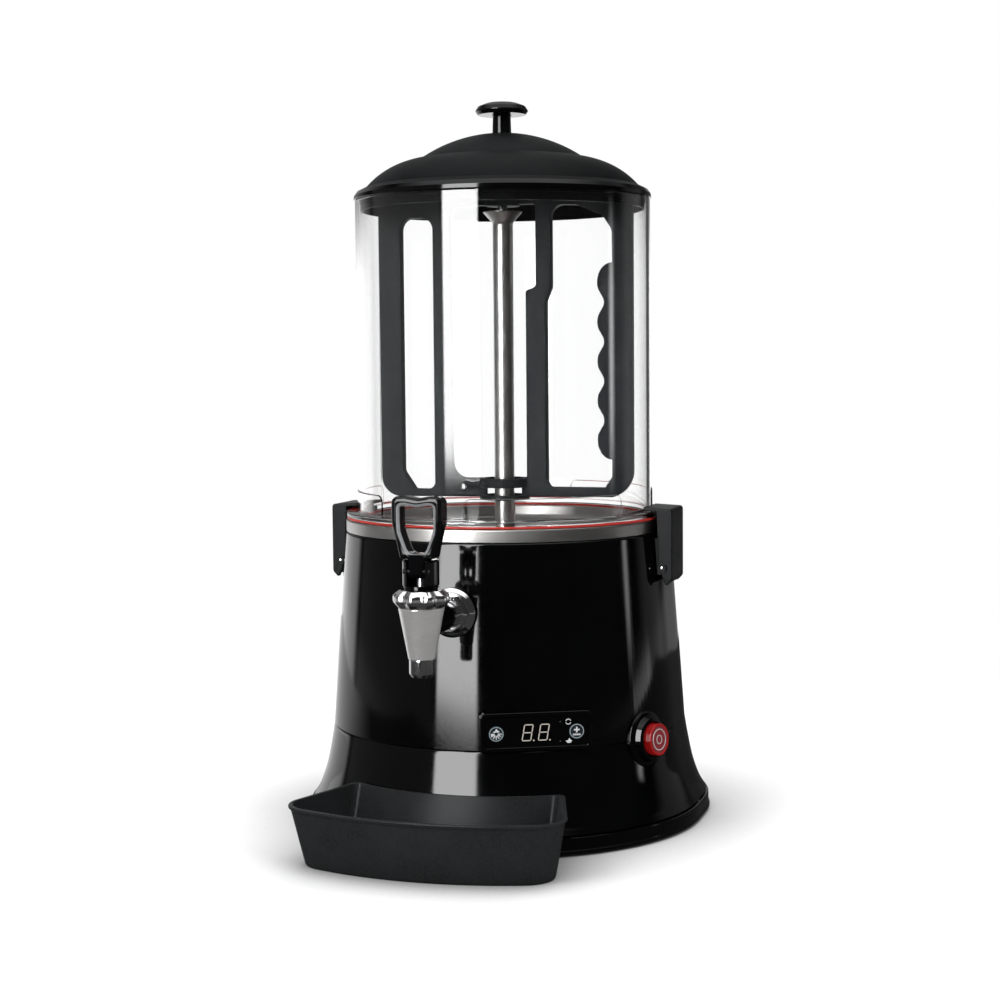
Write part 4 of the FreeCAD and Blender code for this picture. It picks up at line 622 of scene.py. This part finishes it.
# each rim entry is a start, an end and the radius of the arc between them, or 0 for a straight line
stirrer = {
    "thickness": 8, "edge": 0.9, "rinseHole": (2.6, -35, 263.6), "bore": 16.2, "boreSpan": (251.7, 273), "collar": 20,
    "collarSpans": ((253.7, 257.5), (263.7, 271)),
    "rim": [((-106, 271.7), (-90, 255.2), 18), ((90, 256.7), (106, 276.7), 22), ((106, 490), (99, 497), 8),
        ((20, 500), (-20, 500), 0), ((-99, 497), (-106, 490), 8)],
    "leftWindow": [(-86, 276, 5), (-76, 261.5, 3), (-58.5, 261.5, 6), (-58.5, 480.7, 10), (-86, 480.7, 10)],
    "middleWindow": [(-43.5, 271, 12), (19.6, 271, 2.5), (19.6, 421, 3), (28, 423.5, 4), (28, 489, 2),
        (-43.5, 489, 8)],
    "rightWindow": [(89.9, 273.5, 1), (83.9, 264.2, 1.5), (36.4, 264.2, 5), (36.4, 412, 6), (40.7, 423, 6),
        (40.7, 488, 14), (62, 487.2, 12), (82.5, 478.5, 6), (89.9, 467.4, 10), (89.9, 441.5)],
    "lobes": {"count": 4, "side": 89.9, "crest": 78.1, "root": 83.6, "top": 441.5, "pitch": 31, "dip": 1.3},
    "hub": [(0, 503), (14, 503, 1.5), (14, 488, 1), (4.05, 488), (4.05, 499), (0, 499)]}


# the outer side of the right window from its upper corner down: round lobes with tighter dips between
def lobedSide(count, side, crest, root, top, pitch, dip, steps=20):
    half = pitch / 2
    quarter = [math.pi * step / steps for step in range(1, steps // 2 + 1)]
    points = [(side - (side - crest) * math.sin(turn), top - half * (1 - math.cos(turn))) for turn in quarter]
    for step in range(1, steps * count + 1):
        share = (0.5 - 0.5 * math.cos(2 * math.pi * step / steps)) ** dip
        points.append((crest + (root - crest) * share, top - half - pitch * step / steps))
    last = top - half - count * pitch
    return points + [(side - (side - crest) * math.cos(turn), last - half * math.sin(turn)) for turn in quarter]


def makeStirrer(thickness, edge, rim, leftWindow, middleWindow, rightWindow, lobes, rinseHole, bore, boreSpan, collar,
                collarSpans, hub):
    outlines = [[]]
    for start, end, radius in rim:
        outlines[0] += [start] + (arcThrough(start, end, radius) if radius else [end])
    outlines += [eased(window, steps=8) for window in (leftWindow, middleWindow)]
    outlines += [eased(rightWindow, False, 8) + lobedSide(**lobes), circlePoints(*rinseHole, 24)]
    meshes = [carve(plateMesh(outlines, thickness, edge, seatAt(lean=90)), [rodMesh(bore, *boreSpan, steps=64)])]
    for low, high in collarSpans:
        section = [(bore, low, 0.5), (collar, low, 0.8), (collar, high, 0.8), (bore, high, 0.5)]
        meshes.append(turnedPiece(section, steps=72, rounds=3))
    meshes.append(turnedPiece(hub, steps=72, rounds=3, closed=False))
    addPiece("stirrerFrame", joinMeshes(meshes), paddleBlack, "black_satin", "stirrer", body="stirrer_drive")


makeStirrer(**stirrer)
print("stirrer made")


# tap

tapSeat = seatAt(y=tap["reach"])
armSeat = seatAt(z=tap["height"], lean=90)

cone = {"section": [(6, 155), (9.65, 155, 0.4), (16.6, 192, 1), (11, 192), (11, 176), (6, 171)], "rounds": 3}
addPiece("tapCone", turnedPiece(place=tapSeat, **cone), coneSteel, "brushed_steel", "tap_body")

arm = {
    "steps": 72, "rounds": 3,
    "section": [(5, 11.2), (10.5, 11.2), (10.5, 55, 1), (8.05, 55), (8.05, 41.7), (5, 41.7)]}
addPiece("tapBarrel", turnedPiece(place=seatAt(y=tap["reach"], z=tap["height"], lean=-90), **arm), chromeSteel,
         "polished_steel")

spout = {"section": [(6, 155), (9.15, 155, 0.8), (9.15, 144.5, 1), (7.55, 142, 0.6), (6, 142, 0.4)]}
addPiece("tapSpout", turnedPiece(place=tapSeat, **spout), chromeSteel, "polished_steel", "tap_nozzle")

collarNut = {
    "steps": 192, "rounds": 6,
    "section": [(11, 192.3), (17.5, 192.3, 1.5), (20.5, 195.7, 3), (20.5, 200.6, 3.5), (15.5, 204.4, 3),
        (12, 205, 2), (3.3, 205), (3.3, 202), (11, 202)]}
grips = {"count": 9, "turn": -92.6, "depth": 2.6, "start": 12, "full": 20.5}


# hollows round the collar, which grow from the start radius to the full one
def gripped(radius, angle):
    share = max(0, (radius - grips["start"]) / (grips["full"] - grips["start"]))
    turned = grips["count"] * (angle - math.radians(grips["turn"]))
    return radius - grips["depth"] * (0.5 - 0.5 * math.cos(turned)) ** 1.2 * share


addPiece("tapCollarNut", turnedPiece(place=tapSeat, wave=gripped, **collarNut), chromeSteel, "polished_steel",
         "tap_collar")

yoke = {"section": [(3.3, 205), (11.9, 205, 0.5), (13.1, 208, 2), (13.1, 226, 1.6), (3.3, 226)]}
yokeSlot = ((-7, -40, 208), (7, 40, 240))
addPiece("tapYoke", carve(turnedPiece(place=tapSeat, **yoke), [boxMesh(*yokeSlot, tapSeat)]), glossBlack,
         "black_gloss", "tap_yoke")

# the right half of the loop's outlines, and the hub seen from its side
handle = {
    "depth": 15, "forward": 2, "edge": 3.1, "cheek": 13.4, "cheekEdge": 1.2, "drum": (11.05, 200, 240),
    "stemSlot": ((-3.3, -5.6, 211.2), (3.3, 20, 226)), "barSlot": ((-30, -2.3, 215.7), (30, 4.1, 220.3)),
    "outside": [(13, 227, 2), (16, 241, 14), (19, 253, 20), (19, 270.8, 8), (9, 271, 7), (0, 269.5, 12)],
    "opening": [(6, 230.5, 6), (11.9, 246, 14), (12.4, 254, 12), (12.4, 264, 6), (9, 264.4, 6), (0, 262.9, 10)],
    "hub": [(-11, 216.2), (-8, 213.2), (5.5, 213.2), (5.5, 229.5), (-9.5, 229.5)]}
bevel = {"proud": 0.12, "sheet": 0.5, "span": (14, 62), "steps": 6}


# a thin band that lies on the rounded front edge of an opening, to carry a painted highlight; its outline runs in the
# plate's plane
def edgeBand(outline, face, edge, place, proud, sheet, span, steps):
    turns = [math.radians(span[0] + (span[1] - span[0]) * step / steps) for step in range(steps + 1)]
    rows = [(edge + proud, turn) for turn in turns] + [(edge + proud - sheet, turn) for turn in reversed(turns)]
    count = len(outline)
    rings = []
    for radius, turn in rows:
        ring = []
        for index, point in enumerate(outline):
            along = Vector(outline[(index + 1) % count]) - Vector(outline[index - 1])
            outward = Vector((along.y, -along.x)).normalized() * (edge - radius * math.sin(turn))
            ring.append((point[0] + outward.x, point[1] + outward.y, face - edge + radius * math.cos(turn)))
        rings.append(ring)
    return ringMesh(rings, place)


def makeHandle(outside, opening, depth, forward, edge, hub, cheek, cheekEdge, drum, stemSlot, barSlot):
    seat = seatAt(y=tap["reach"] - forward, lean=90)
    loop = eased(mirrored(opening), steps=7)
    grip = plateMesh([eased(mirrored(outside), steps=7), loop], depth, edge, seat, rounds=4)
    block = plateMesh([hub], cheek, cheekEdge, seatAt(y=tap["reach"], azimuth=90, lean=90), rounds=4)
    block = carve(block, [boxMesh(*slot, tapSeat) for slot in (stemSlot, barSlot)])
    block = carve(block, [rodMesh(*drum, tapSeat)], "INTERSECT")
    addPiece("tapHandleLoop", grip, handleBlack, "black_gloss", "tap_handle", body="tap_lever", crease=40)
    addPiece("tapHandleBevelPaintedHighlight", edgeBand(loop, depth / 2, edge, seat, **bevel), paintedHighlightGrey, "black_gloss",
             body="tap_lever")
    addPiece("tapHandleHub", block, hubBlack, "black_gloss", body="tap_lever")


makeHandle(**handle)

coil = {"wire": 0.75, "radius": 8, "turns": 7, "steps": 24, "sides": 8}


# the valve's spring: a coil from the foot to the head of its node's box
def makeTapSpring(wire, radius, turns, steps, sides):
    low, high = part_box("tap_spring")
    foot = Vector(((low[0] + high[0]) / 2, (low[1] + high[1]) / 2, low[2]))
    head = Vector((foot.x, foot.y, high[2]))
    rise = (head.z - foot.z) * 1000 - 2 * wire
    count = turns * steps
    levels = []
    for step in range(count + 1):
        angle = 2 * math.pi * step / steps
        level = wire + rise * step / count
        levels.append([(across * math.cos(angle), across * math.sin(angle), level + up)
                       for across, up in circlePoints(wire, radius, 0, sides)])
    mesh = ringMesh(levels, Matrix.Translation(foot) @ millimetres, False, True)
    piece = addPiece("tapSpringCoil", mesh, chromeSteel, "polished_steel", "tap_spring", body="", crease=60)
    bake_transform(piece)


makeTapSpring(**coil)

flange = {
    "steps": 128,
    "section": [(8.05, 134), (18.6, 134, 0.6), (18.6, 136.4, 0.8), (16.4, 138.8, 1.4), (14.6, 140, 1), (8.05, 140)]}
addPiece("tapFlange", turnedPiece(place=armSeat, **flange), chromeSteel, "polished_steel", "tap_escutcheon")

nut = {"back": 140, "front": 147, "across": 27, "bore": 8.05, "chamfer": (3.8, 2.3)}


def makeNut(back, front, across, bore, chamfer):
    corner = across / math.sqrt(3)
    outlines = [circlePoints(corner, steps=6), circlePoints(bore, steps=48)]
    block = plateMesh(outlines, front - back, 0.5, armSeat @ Matrix.Translation((0, 0, (front + back) / 2)))
    reach, top = corner + 0.6, front + 0.1
    rim = turnedMesh([(0, back), (reach, back), (reach, top - chamfer[1]), (reach - chamfer[0], top), (0, top)],
                     armSeat, 72)
    addPiece("tapHexNut", carve(block, [rim], "INTERSECT"), chromeSteel, "polished_steel", "tap_nut", crease=25)


makeNut(**nut)
print("tap made")


# latches, seen from their side

latch = {
    "width": 42, "edge": 0.7, "hollowWidth": 37, "hollowEdge": 0.3,
    "lever": [(137, 188.7, 1.5), (142, 194, 4), (142, 249.3, 2.6), (119.2, 250.5, 1), (119.2, 248, 0.6),
        (129.3, 247.1), (131.2, 203.2, 3)],
    "hollow": [(126.3, 185.7), (139.5, 185.7), (139.5, 246.8), (129.3, 247.1), (121.3, 238.8)]}

# the bright centre of each rivet head, on its front end
pinTip = {"section": [(0, 0.35), (0.9, 0.2), (1.4, -0.15), (1.4, -0.6), (0, -0.6)], "steps": 24}


def makeLatch(azimuth, lever, width, edge, hollow, hollowWidth, hollowEdge):
    upright = seatAt(azimuth=azimuth, lean=90)
    solid = plateMesh([eased(lever, steps=5)], width, edge, upright)
    return carve(solid, [plateMesh([hollow], hollowWidth, hollowEdge, upright)])


def makePinTip(node):
    low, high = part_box(node)
    spot = Matrix.Translation(((low[0] + high[0]) / 2, low[1], (low[2] + high[2]) / 2))
    return turnedMesh(place=spot @ Matrix.Rotation(math.radians(90), 4, "X") @ millimetres, **pinTip)


for side, azimuth in (("Right", 0), ("Left", 180)):
    label = side.lower()
    addPiece("latchLever" + side, makeLatch(azimuth, **latch), satinBlack, "black_satin", "latch_" + label,
             body=label + "_latch")
for side in ("Right", "Left"):
    addPiece("latchPinTip" + side, makePinTip("latch_pin_" + side.lower()), chromeSteel, "polished_steel")
print("latches made")


# control panel

# a plate that faces out of the panel; proud is how far its front stands off the panel's face
def panelPlate(outlines, thickness, proud, edge=0):
    outward = Matrix.Translation((0, 0, panel["face"] + proud - thickness / 2))
    return plateMesh(outlines, thickness, edge, seatAt(azimuth=panel["azimuth"], lean=90) @ outward)


# the panel's outline moved inwards by a border, with a rounding for the lower and the upper corners
def panelOutline(border, lower, upper, steps=4):
    half = panel["width"] / 2 - border
    low = panel["bottom"] + border
    high = panel["bottom"] + panel["height"] - border
    return eased([(-half, low, lower), (half, low, lower), (half, high, upper), (-half, high, upper)], steps=steps)


def makePanel(size):
    border = size["border"]
    rim = [panelOutline(0, 0.8, size["corner"], 6), panelOutline(border, 1, 1.5)]
    addPiece("panelFrame", panelPlate(rim, size["face"] - size["back"], 0, 0.8), glossBlack, "black_gloss",
             "control_panel_frame")
    pane = [panelOutline(border + 0.1, 1, 1.5)]
    pane += [circlePoints(size["keyRadius"] + 0.3, side * size["keyOffset"], size["keyHeight"]) for side in (-1, 1)]
    addPiece("panelWindow", panelPlate(pane, 2.4, -size["recess"]), windowBlack, "smoked_window", "display_window")


# places are counted from the middle of the display, or from the middle of the key that carries the mark
marks = {
    "sheet": 0.14, "keyProud": 0.4, "digits": (-6.6, 5.6), "lamps": ((18, 7.4), (18, -7.2)), "lamp": 0.6,
    "turns": ((24.1, 7.2), 1.9, 0.6, ((20, 165), (200, 345))), "keyRing": (5.35, 4.85),
    "rayAngles": (180, 207, 237, 270, 303, 333, 360), "rayReach": (1.1, 4.3), "ray": 0.7,
    "dots": (-2.9, -1.4, 0.1, 1.6), "dotDrop": -3.1, "dotSide": 1.2,
    "cup": shifted([(-2.6, -0.3), (-0.6, 0.4), (0.3, 2), (1.2, 0.5), (2.4, 0), (1.2, -1.7), (-1, -1.8)], 24.6, -7),
    "flame": [(-2.7, 1.6), (-1, 2.2), (0, 4.2), (1.2, 2.6), (2.6, 1.8), (1.4, 1), (0, 1.5), (-1.4, 0.9)],
    "plus": shifted([(-2.1, -0.55), (-0.55, -0.55), (-0.55, -2.1), (0.55, -2.1), (0.55, -0.55), (2.1, -0.55),
        (2.1, 0.55), (0.55, 0.55), (0.55, 2.1), (-0.55, 2.1), (-0.55, 0.55), (-2.1, 0.55)], 0, 1.1)}

digit = {
    "half": 3.25, "rise": 5.9, "slant": 0.17, "stroke": 0.72, "gap": 0.15, "dot": 0.6, "dotOffset": 1.3,
    "bars": (((-1, 1), (1, 1)), ((-1, 0), (1, 0)), ((-1, -1), (1, -1)), ((-1, 1), (-1, 0)), ((-1, 0), (-1, -1)),
        ((1, 1), (1, 0)), ((1, 0), (1, -1)))}


# a bar with pointed ends, as on a lit display
def barOutline(start, end, stroke):
    first = Vector(start)
    last = Vector(end)
    along = (last - first).normalized() * (stroke / 2)
    side = Vector((-along.y, along.x))
    return [tuple(point) for point in (first, first + along + side, last - along + side, last, last - along - side,
                                       first + along - side)]


def digitOutlines(middle, half, rise, slant, stroke, gap, dot, dotOffset, bars):
    outlines = []
    for bar in bars:
        first, last = (Vector((middle + x * half + y * rise * slant, y * rise)) for x, y in bar)
        back = (last - first).normalized() * gap
        outlines.append(barOutline(first + back, last - back, stroke))
    return outlines + [circlePoints(dot, middle + half + dotOffset, -rise, 12)]


def arcBand(middle, radius, width, start, end):
    return (arcPoints(radius + width / 2, start, end, 12, *middle)
            + arcPoints(radius - width / 2, end, start, 12, *middle))


# side is -1 on the left key, 1 on the right key and 0 on the display
def addMark(name, outlines, finish, side=0):
    body = ("left_key", "machine", "right_key")[side + 1]
    slotName, proud = ("white_key", marks["keyProud"]) if side else ("smoked_window", -panel["recess"])
    placed = [shifted(outline, side * panel["keyOffset"], panel["keyHeight"]) for outline in outlines]
    addPiece(name, panelPlate(placed, marks["sheet"], marks["sheet"] + proud), finish, slotName, body=body)


def makeMarks(size):
    addMark("displayDigits", [bar for middle in size["digits"] for bar in digitOutlines(middle, **digit)], digitGlow)
    middle, radius, width, spans = size["turns"]
    addMark("displayIcons", [arcBand(middle, radius, width, *span) for span in spans] + [size["cup"]], iconGlow)
    addMark("displayLamps", [circlePoints(size["lamp"], x, y, 12) for x, y in size["lamps"]], dimGlow)
    ring = [circlePoints(radius, steps=48) for radius in size["keyRing"]]
    addMark("keyRingLeft", ring, ringGlow, -1)
    addMark("keyRingRight", ring, ringGlow, 1)
    rays = []
    for angle in size["rayAngles"]:
        outward = Vector((math.cos(math.radians(angle)), math.sin(math.radians(angle))))
        rays.append(barOutline(*(outward * reach for reach in size["rayReach"]), size["ray"]))
    addMark("keyMarkLeft", rays + [size["flame"]], iconGlow, -1)
    side = size["dotSide"]
    dots = [shifted([(0, 0), (side, 0), (side, side), (0, side)], x, size["dotDrop"]) for x in size["dots"]]
    addMark("keyMarkRight", [size["plus"]] + dots, iconGlow, 1)


makePanel(panel)
makeMarks(marks)
print("panel made")


# power switch; heights count outwards from the casing

bezel = {
    "steps": 128,
    "section": [(12.5, -8), (21.6, -8), (21.6, -1.2, 1), (20, 0.2, 1), (17.7, 0.6, 0.8), (16.1, 4.8, 1),
        (13.7, 5.6, 0.8), (12.5, 4.4, 0.4)]}
addPiece("powerBezel", turnedPiece(place=powerSeat, **bezel), glossBlack, "black_gloss", "power_bezel")

button = {
    "face": [(0, 10.35), (9.9, 10.35), (10.3, 10.6)], "rings": ((2.85, 3.55), (7.5, 8.3), (10.75, 11.65)),
    "ringBottom": 10.25, "ringTop": 10.75, "ringEase": 0.3,
    "barrel": [(0, -6), (12.2, -6), (12.2, 10.9, 1.2), (10.6, 10.8, 0.4), (10, 10.2), (0, 10.2)]}


def makeButton(barrel, face, rings, ringBottom, ringTop, ringEase):
    addPiece("powerButtonBarrel", turnedPiece(barrel, powerSeat, closed=False), buttonRed, "red_translucent",
             "power_button", body="power_key")
    addPiece("powerButtonFace", turnedMesh(face, powerSeat), buttonFace, "red_translucent", body="power_key")
    bands = [turnedPiece([(inner, ringBottom), (outer, ringBottom), (outer, ringTop, ringEase),
                          (inner, ringTop, ringEase)], powerSeat, rounds=3) for inner, outer in rings]
    addPiece("powerButtonRings", joinMeshes(bands), buttonRing, "red_translucent", body="power_key")


makeButton(**button)
print("power switch made")


# drip tray: pairs are a measure at its floor and at its rim

tray = {
    "backHalf": 82, "backTurn": 11, "backCorner": 7, "sideHalf": (94, 103.5), "sideFront": (189, 194),
    "noseHalf": (78, 85), "noseDrop": (13, 14.5), "front": (227.6, 236), "corner": (23, 24)}

# each level: share of the way from floor to rim, height, radius of the back, inset of the outline
trayLevels = [
    (0, 0, 160.6, 3), (0, 0, 160.6, 1.2), (0.01, 0.4, 160.6, 0.4), (0.03, 1.4, 160.6, 0),
    (0.34444, 15.5, 160.6, 0), (0.91, 41.5, 150, 0), (0.93, 42, 149.7, -0.54), (0.97, 42.8, 149.3, -0.9),
    (1, 44, 149, -0.9), (1, 44.7, 149, -0.5), (1, 45, 149, 0.4), (1, 45, 149, 1.8),
    (1, 44.8, 149, 2.3), (0.97, 44.2, 149, 2.5), (0.34444, 15.5, 160.6, 2.5), (0.1, 4, 160.6, 2.5),
    (0.07, 2.9, 160.6, 3.1), (0.06, 2.5, 160.6, 4.3)]


def trayRing(size, share, height, backRadius, inset):
    def between(name):
        low, high = size[name]
        return low + (high - low) * share

    reach = backRadius + inset
    back = size["backHalf"] - inset
    turn = back - size["backTurn"]
    backY, turnY = (-math.sqrt(reach ** 2 - half ** 2) for half in (back, turn))
    side = between("sideHalf") - inset
    sideY = -between("sideFront")
    nose = between("noseHalf") - inset / 2
    drop = between("noseDrop")
    noseY = drop - between("front") + inset
    corner = between("corner") - inset
    points = eased([(-turn, turnY), (-back, backY, size["backCorner"]), (-side, sideY)], False, 5)[1:]
    points += arcThrough((-side, sideY), (-nose, noseY), corner)
    points += arcThrough((-nose, noseY), (nose, noseY), (nose ** 2 + drop ** 2) / (drop * 2), steps=28)
    points += arcThrough((nose, noseY), (side, sideY), corner)
    points += eased([(side, sideY), (back, backY, size["backCorner"]), (turn, turnY)], False, 5)[1:]
    points += arcThrough((turn, turnY), (-turn, turnY), reach, -1, 28)
    return [(x, y, height) for x, y in points]


addPiece("dripTray", ringMesh([trayRing(tray, *level) for level in trayLevels], closed=False, capped=True),
         trayBlack, "black_gloss", "drip_tray", body="tray")
print("tray made")


# finishes of the carried-over nodes

nodeFinishes = (
    (brushedSteel, "base_screws water_jacket heating_element temperature_probe outlet_pipe lid_knob_screw drive_shaft "
                   "gearbox_shaft motor_bracket tap_stem tap_shank"),
    (satinBlack, "cable_gland tap_pin latch_bracket_right latch_bracket_left latch_pin_right latch_pin_left "
                 "display_module tact_switches power_switch_body"),
    (rubberBlack, "rubber_feet shaft_seal tap_washer"), (bronzeTan, "shaft_bush_upper shaft_bush_lower"),
    (castGrey, "shaft_coupling gearbox"), (motorEnamel, "motor"), (sealRed, "tap_seat_cup"),
    (boardGreen, "control_board"), (keySlate, "key_left key_right"))
for finish, labels in nodeFinishes:
    for label in labels.split():
        node = cadNodes[label]
        if not node.material_slots:
            node.data.materials.append(finish)
        for holder in node.material_slots:
            holder.material = finish
print("carried-over nodes finished")


# studio

studio = {
    "ambient": 0.42, "above": 1.8, "aboveSpan": (0.7, 0.95), "below": 0.2, "belowBand": (-0.13, -0.083, 0.012),
    "throughWall": 1.12}

# what gloss and metal mirror, seen from the machine: bearings from and to, their softness in degrees,
# heights from and to, their softness, brightness
cards = {
    "frontLeft": (-103, -32, 3, -1, 0.85, 0.04, 0.18),
    "strip": (-29.5, -2, 1.2, -0.052, 0.78, 0.02, 19),
    "stripLow": (-29.5, -2, 1.2, -0.12, -0.079, 0.006, 3),
    "sideLow": (110, 131, 1.5, -0.12, -0.079, 0.006, 1.2),
    "frontRight": (3, 104, 10, -1, 0.85, 0.04, 0.035),
    "streak": (108.5, 110.5, 3, -0.05, 0.06, 0.03, 8),
    "sideRight": (124, 152, 6, -1, 0.85, 0.04, 0.2),
    "backRight": (158, 260, 8, -1, 0.85, 0.04, 0.07),
    "backLeft": (-260, -108, 4, -1, 0.06, 0.03, 1.3),
    "highLeft": (-260, -120, 16, 0.06, 0.85, 0.03, 0.35),
}


def makeStudio(ambient, above, aboveSpan, below, belowBand, throughWall):
    world = bpy.data.worlds.new("paleStudio")
    scene.world = world
    world.use_nodes = True
    world.cycles.sampling_method = "NONE"
    tree = world.node_tree
    tree.nodes.clear()
    direction = addNode(tree, "TexCoord").outputs["Generated"]
    east, north, height = addNode(tree, "SeparateXYZ", {0: direction}).outputs
    bearing = mathNode(tree, "ARCTAN2", east, product(tree, north, -1))
    level = mathNode(tree, "ADD", softStep(tree, height, *aboveSpan, 0, above),
                     product(tree, softBand(tree, height, *belowBand), below))
    for card in cards.values():
        across = softBand(tree, bearing, *(math.radians(angle) for angle in card[:3]))
        band = product(tree, across, softBand(tree, height, *card[3:6]))
        level = mathNode(tree, "MULTIPLY_ADD", band, card[6], level)
    path = addNode(tree, "LightPath").outputs
    through = product(tree, path["Is Transmission Ray"], throughWall)
    seen = mathNode(tree, "MAXIMUM", path["Is Camera Ray"], through)
    mirrored = mathNode(tree, "GREATER_THAN", path["Glossy Depth"], 0.5)
    scattered = mathNode(tree, "GREATER_THAN", path["Diffuse Depth"], 0.5)
    strength = addNode(tree, "Mix", {0: mirrored, 2: seen, 3: level}).outputs[0]
    strength = addNode(tree, "Mix", {0: scattered, 2: strength, 3: ambient}).outputs[0]
    closeTree(tree, addNode(tree, "Background", {"Color": (1, 1, 1, 1), "Strength": strength}), "World")


# mirror is how bright gloss shows the floor: dim, and bright at the back left
floor = {
    "size": 2.2, "depth": 3, "shade": 0.9, "mottle": 0.99, "paintedShadeReach": 0.12, "lift": 0.12, "fade": (0.38, 0.95),
    "mirror": (0.05, 0.9), "mirrorBehind": (-0.25, 0.25), "mirrorAcross": (-0.3, 0)}


def makeFloor(size, depth, shade, mottle, paintedShadeReach, lift, fade, mirror, mirrorBehind, mirrorAcross):
    material, tree = newFinish("paleFloor")
    material.cycles.emission_sampling = "NONE"

    def glowing(strength):
        return addNode(tree, "Emission", {"Color": (1, 1, 1, 1), "Strength": strength})

    plain = (shade, shade, shade)
    tint = blendColours(tree, softStep(tree, speckle(tree, 40), 0.2, 0.8), opaque(plain, mottle), opaque(plain))
    # painted contact shade: ambient occlusion darkens the floor's colour, and the glow that lifts it, close to the
    # machine
    paintedContactShade = addNode(tree, "AmbientOcclusion", {"Color": tint, "Distance": paintedShadeReach}, samples=8).outputs
    matt = addNode(tree, "BsdfDiffuse", {"Color": paintedContactShade["Color"]})
    path = addNode(tree, "LightPath").outputs
    seen = mathNode(tree, "MAXIMUM", path["Is Camera Ray"], path["Is Glossy Ray"])
    liftWithPaintedShade = glowing(product(tree, seen, product(tree, paintedContactShade["AO"], lift)))
    near = addNode(tree, "AddShader", {0: matt.outputs[0], 1: liftWithPaintedShade.outputs[0]})
    place = addNode(tree, "TexCoord").outputs["Object"]
    across, behind, _ = addNode(tree, "SeparateXYZ", {0: place}).outputs
    backLeft = product(tree, softStep(tree, behind, *mirrorBehind),
                       softStep(tree, across, *mirrorAcross, mirror[1], 0))
    reflected = glowing(mathNode(tree, "MAXIMUM", backLeft, mirror[0]))
    reach = addNode(tree, "VectorMath", {0: place}, operation="LENGTH").outputs["Value"]
    direct = mixShaders(tree, softStep(tree, reach, *fade), near, glowing(seen))
    closeTree(tree, mixShaders(tree, mathNode(tree, "GREATER_THAN", path["Glossy Depth"], 0.5), direct, reflected))
    half = size * 500
    mesh = boxMesh((-half, -half, -depth), (half, half, 0), millimetres)
    mesh.materials.append(material)
    linkedObject("studioFloor", mesh)


# each lamp: place, aim, width, height, watts
lamps = {
    "lampLeft": ((-1.1, -1.5, 1.7), (0, 0, 0.25), 1.2, 1.2, 26),
    "lampRight": ((1.6, -0.9, 1.4), (0, 0, 0.25), 1, 1.4, 14), "lampTop": ((0, 0.3, 2.2), (0, 0, 0), 1.8, 1.8, 34)}


def addLamp(name, spot, aim, width, height, watts):
    data = bpy.data.lights.new(name, "AREA")
    data.shape = "RECTANGLE"
    data.size = width
    data.size_y = height
    data.energy = watts
    lamp = linkedObject(name, data)
    lamp.location = spot
    lamp.rotation_mode = "QUATERNION"
    lamp.rotation_quaternion = (Vector(aim) - Vector(spot)).to_track_quat("-Z", "Y")
    lamp.visible_glossy = False
    lamp.visible_transmission = False


makeStudio(**studio)
makeFloor(**floor)
for label, lamp in lamps.items():
    addLamp(label, *lamp)
scene.view_settings.view_transform = "Standard"
print("studio made")
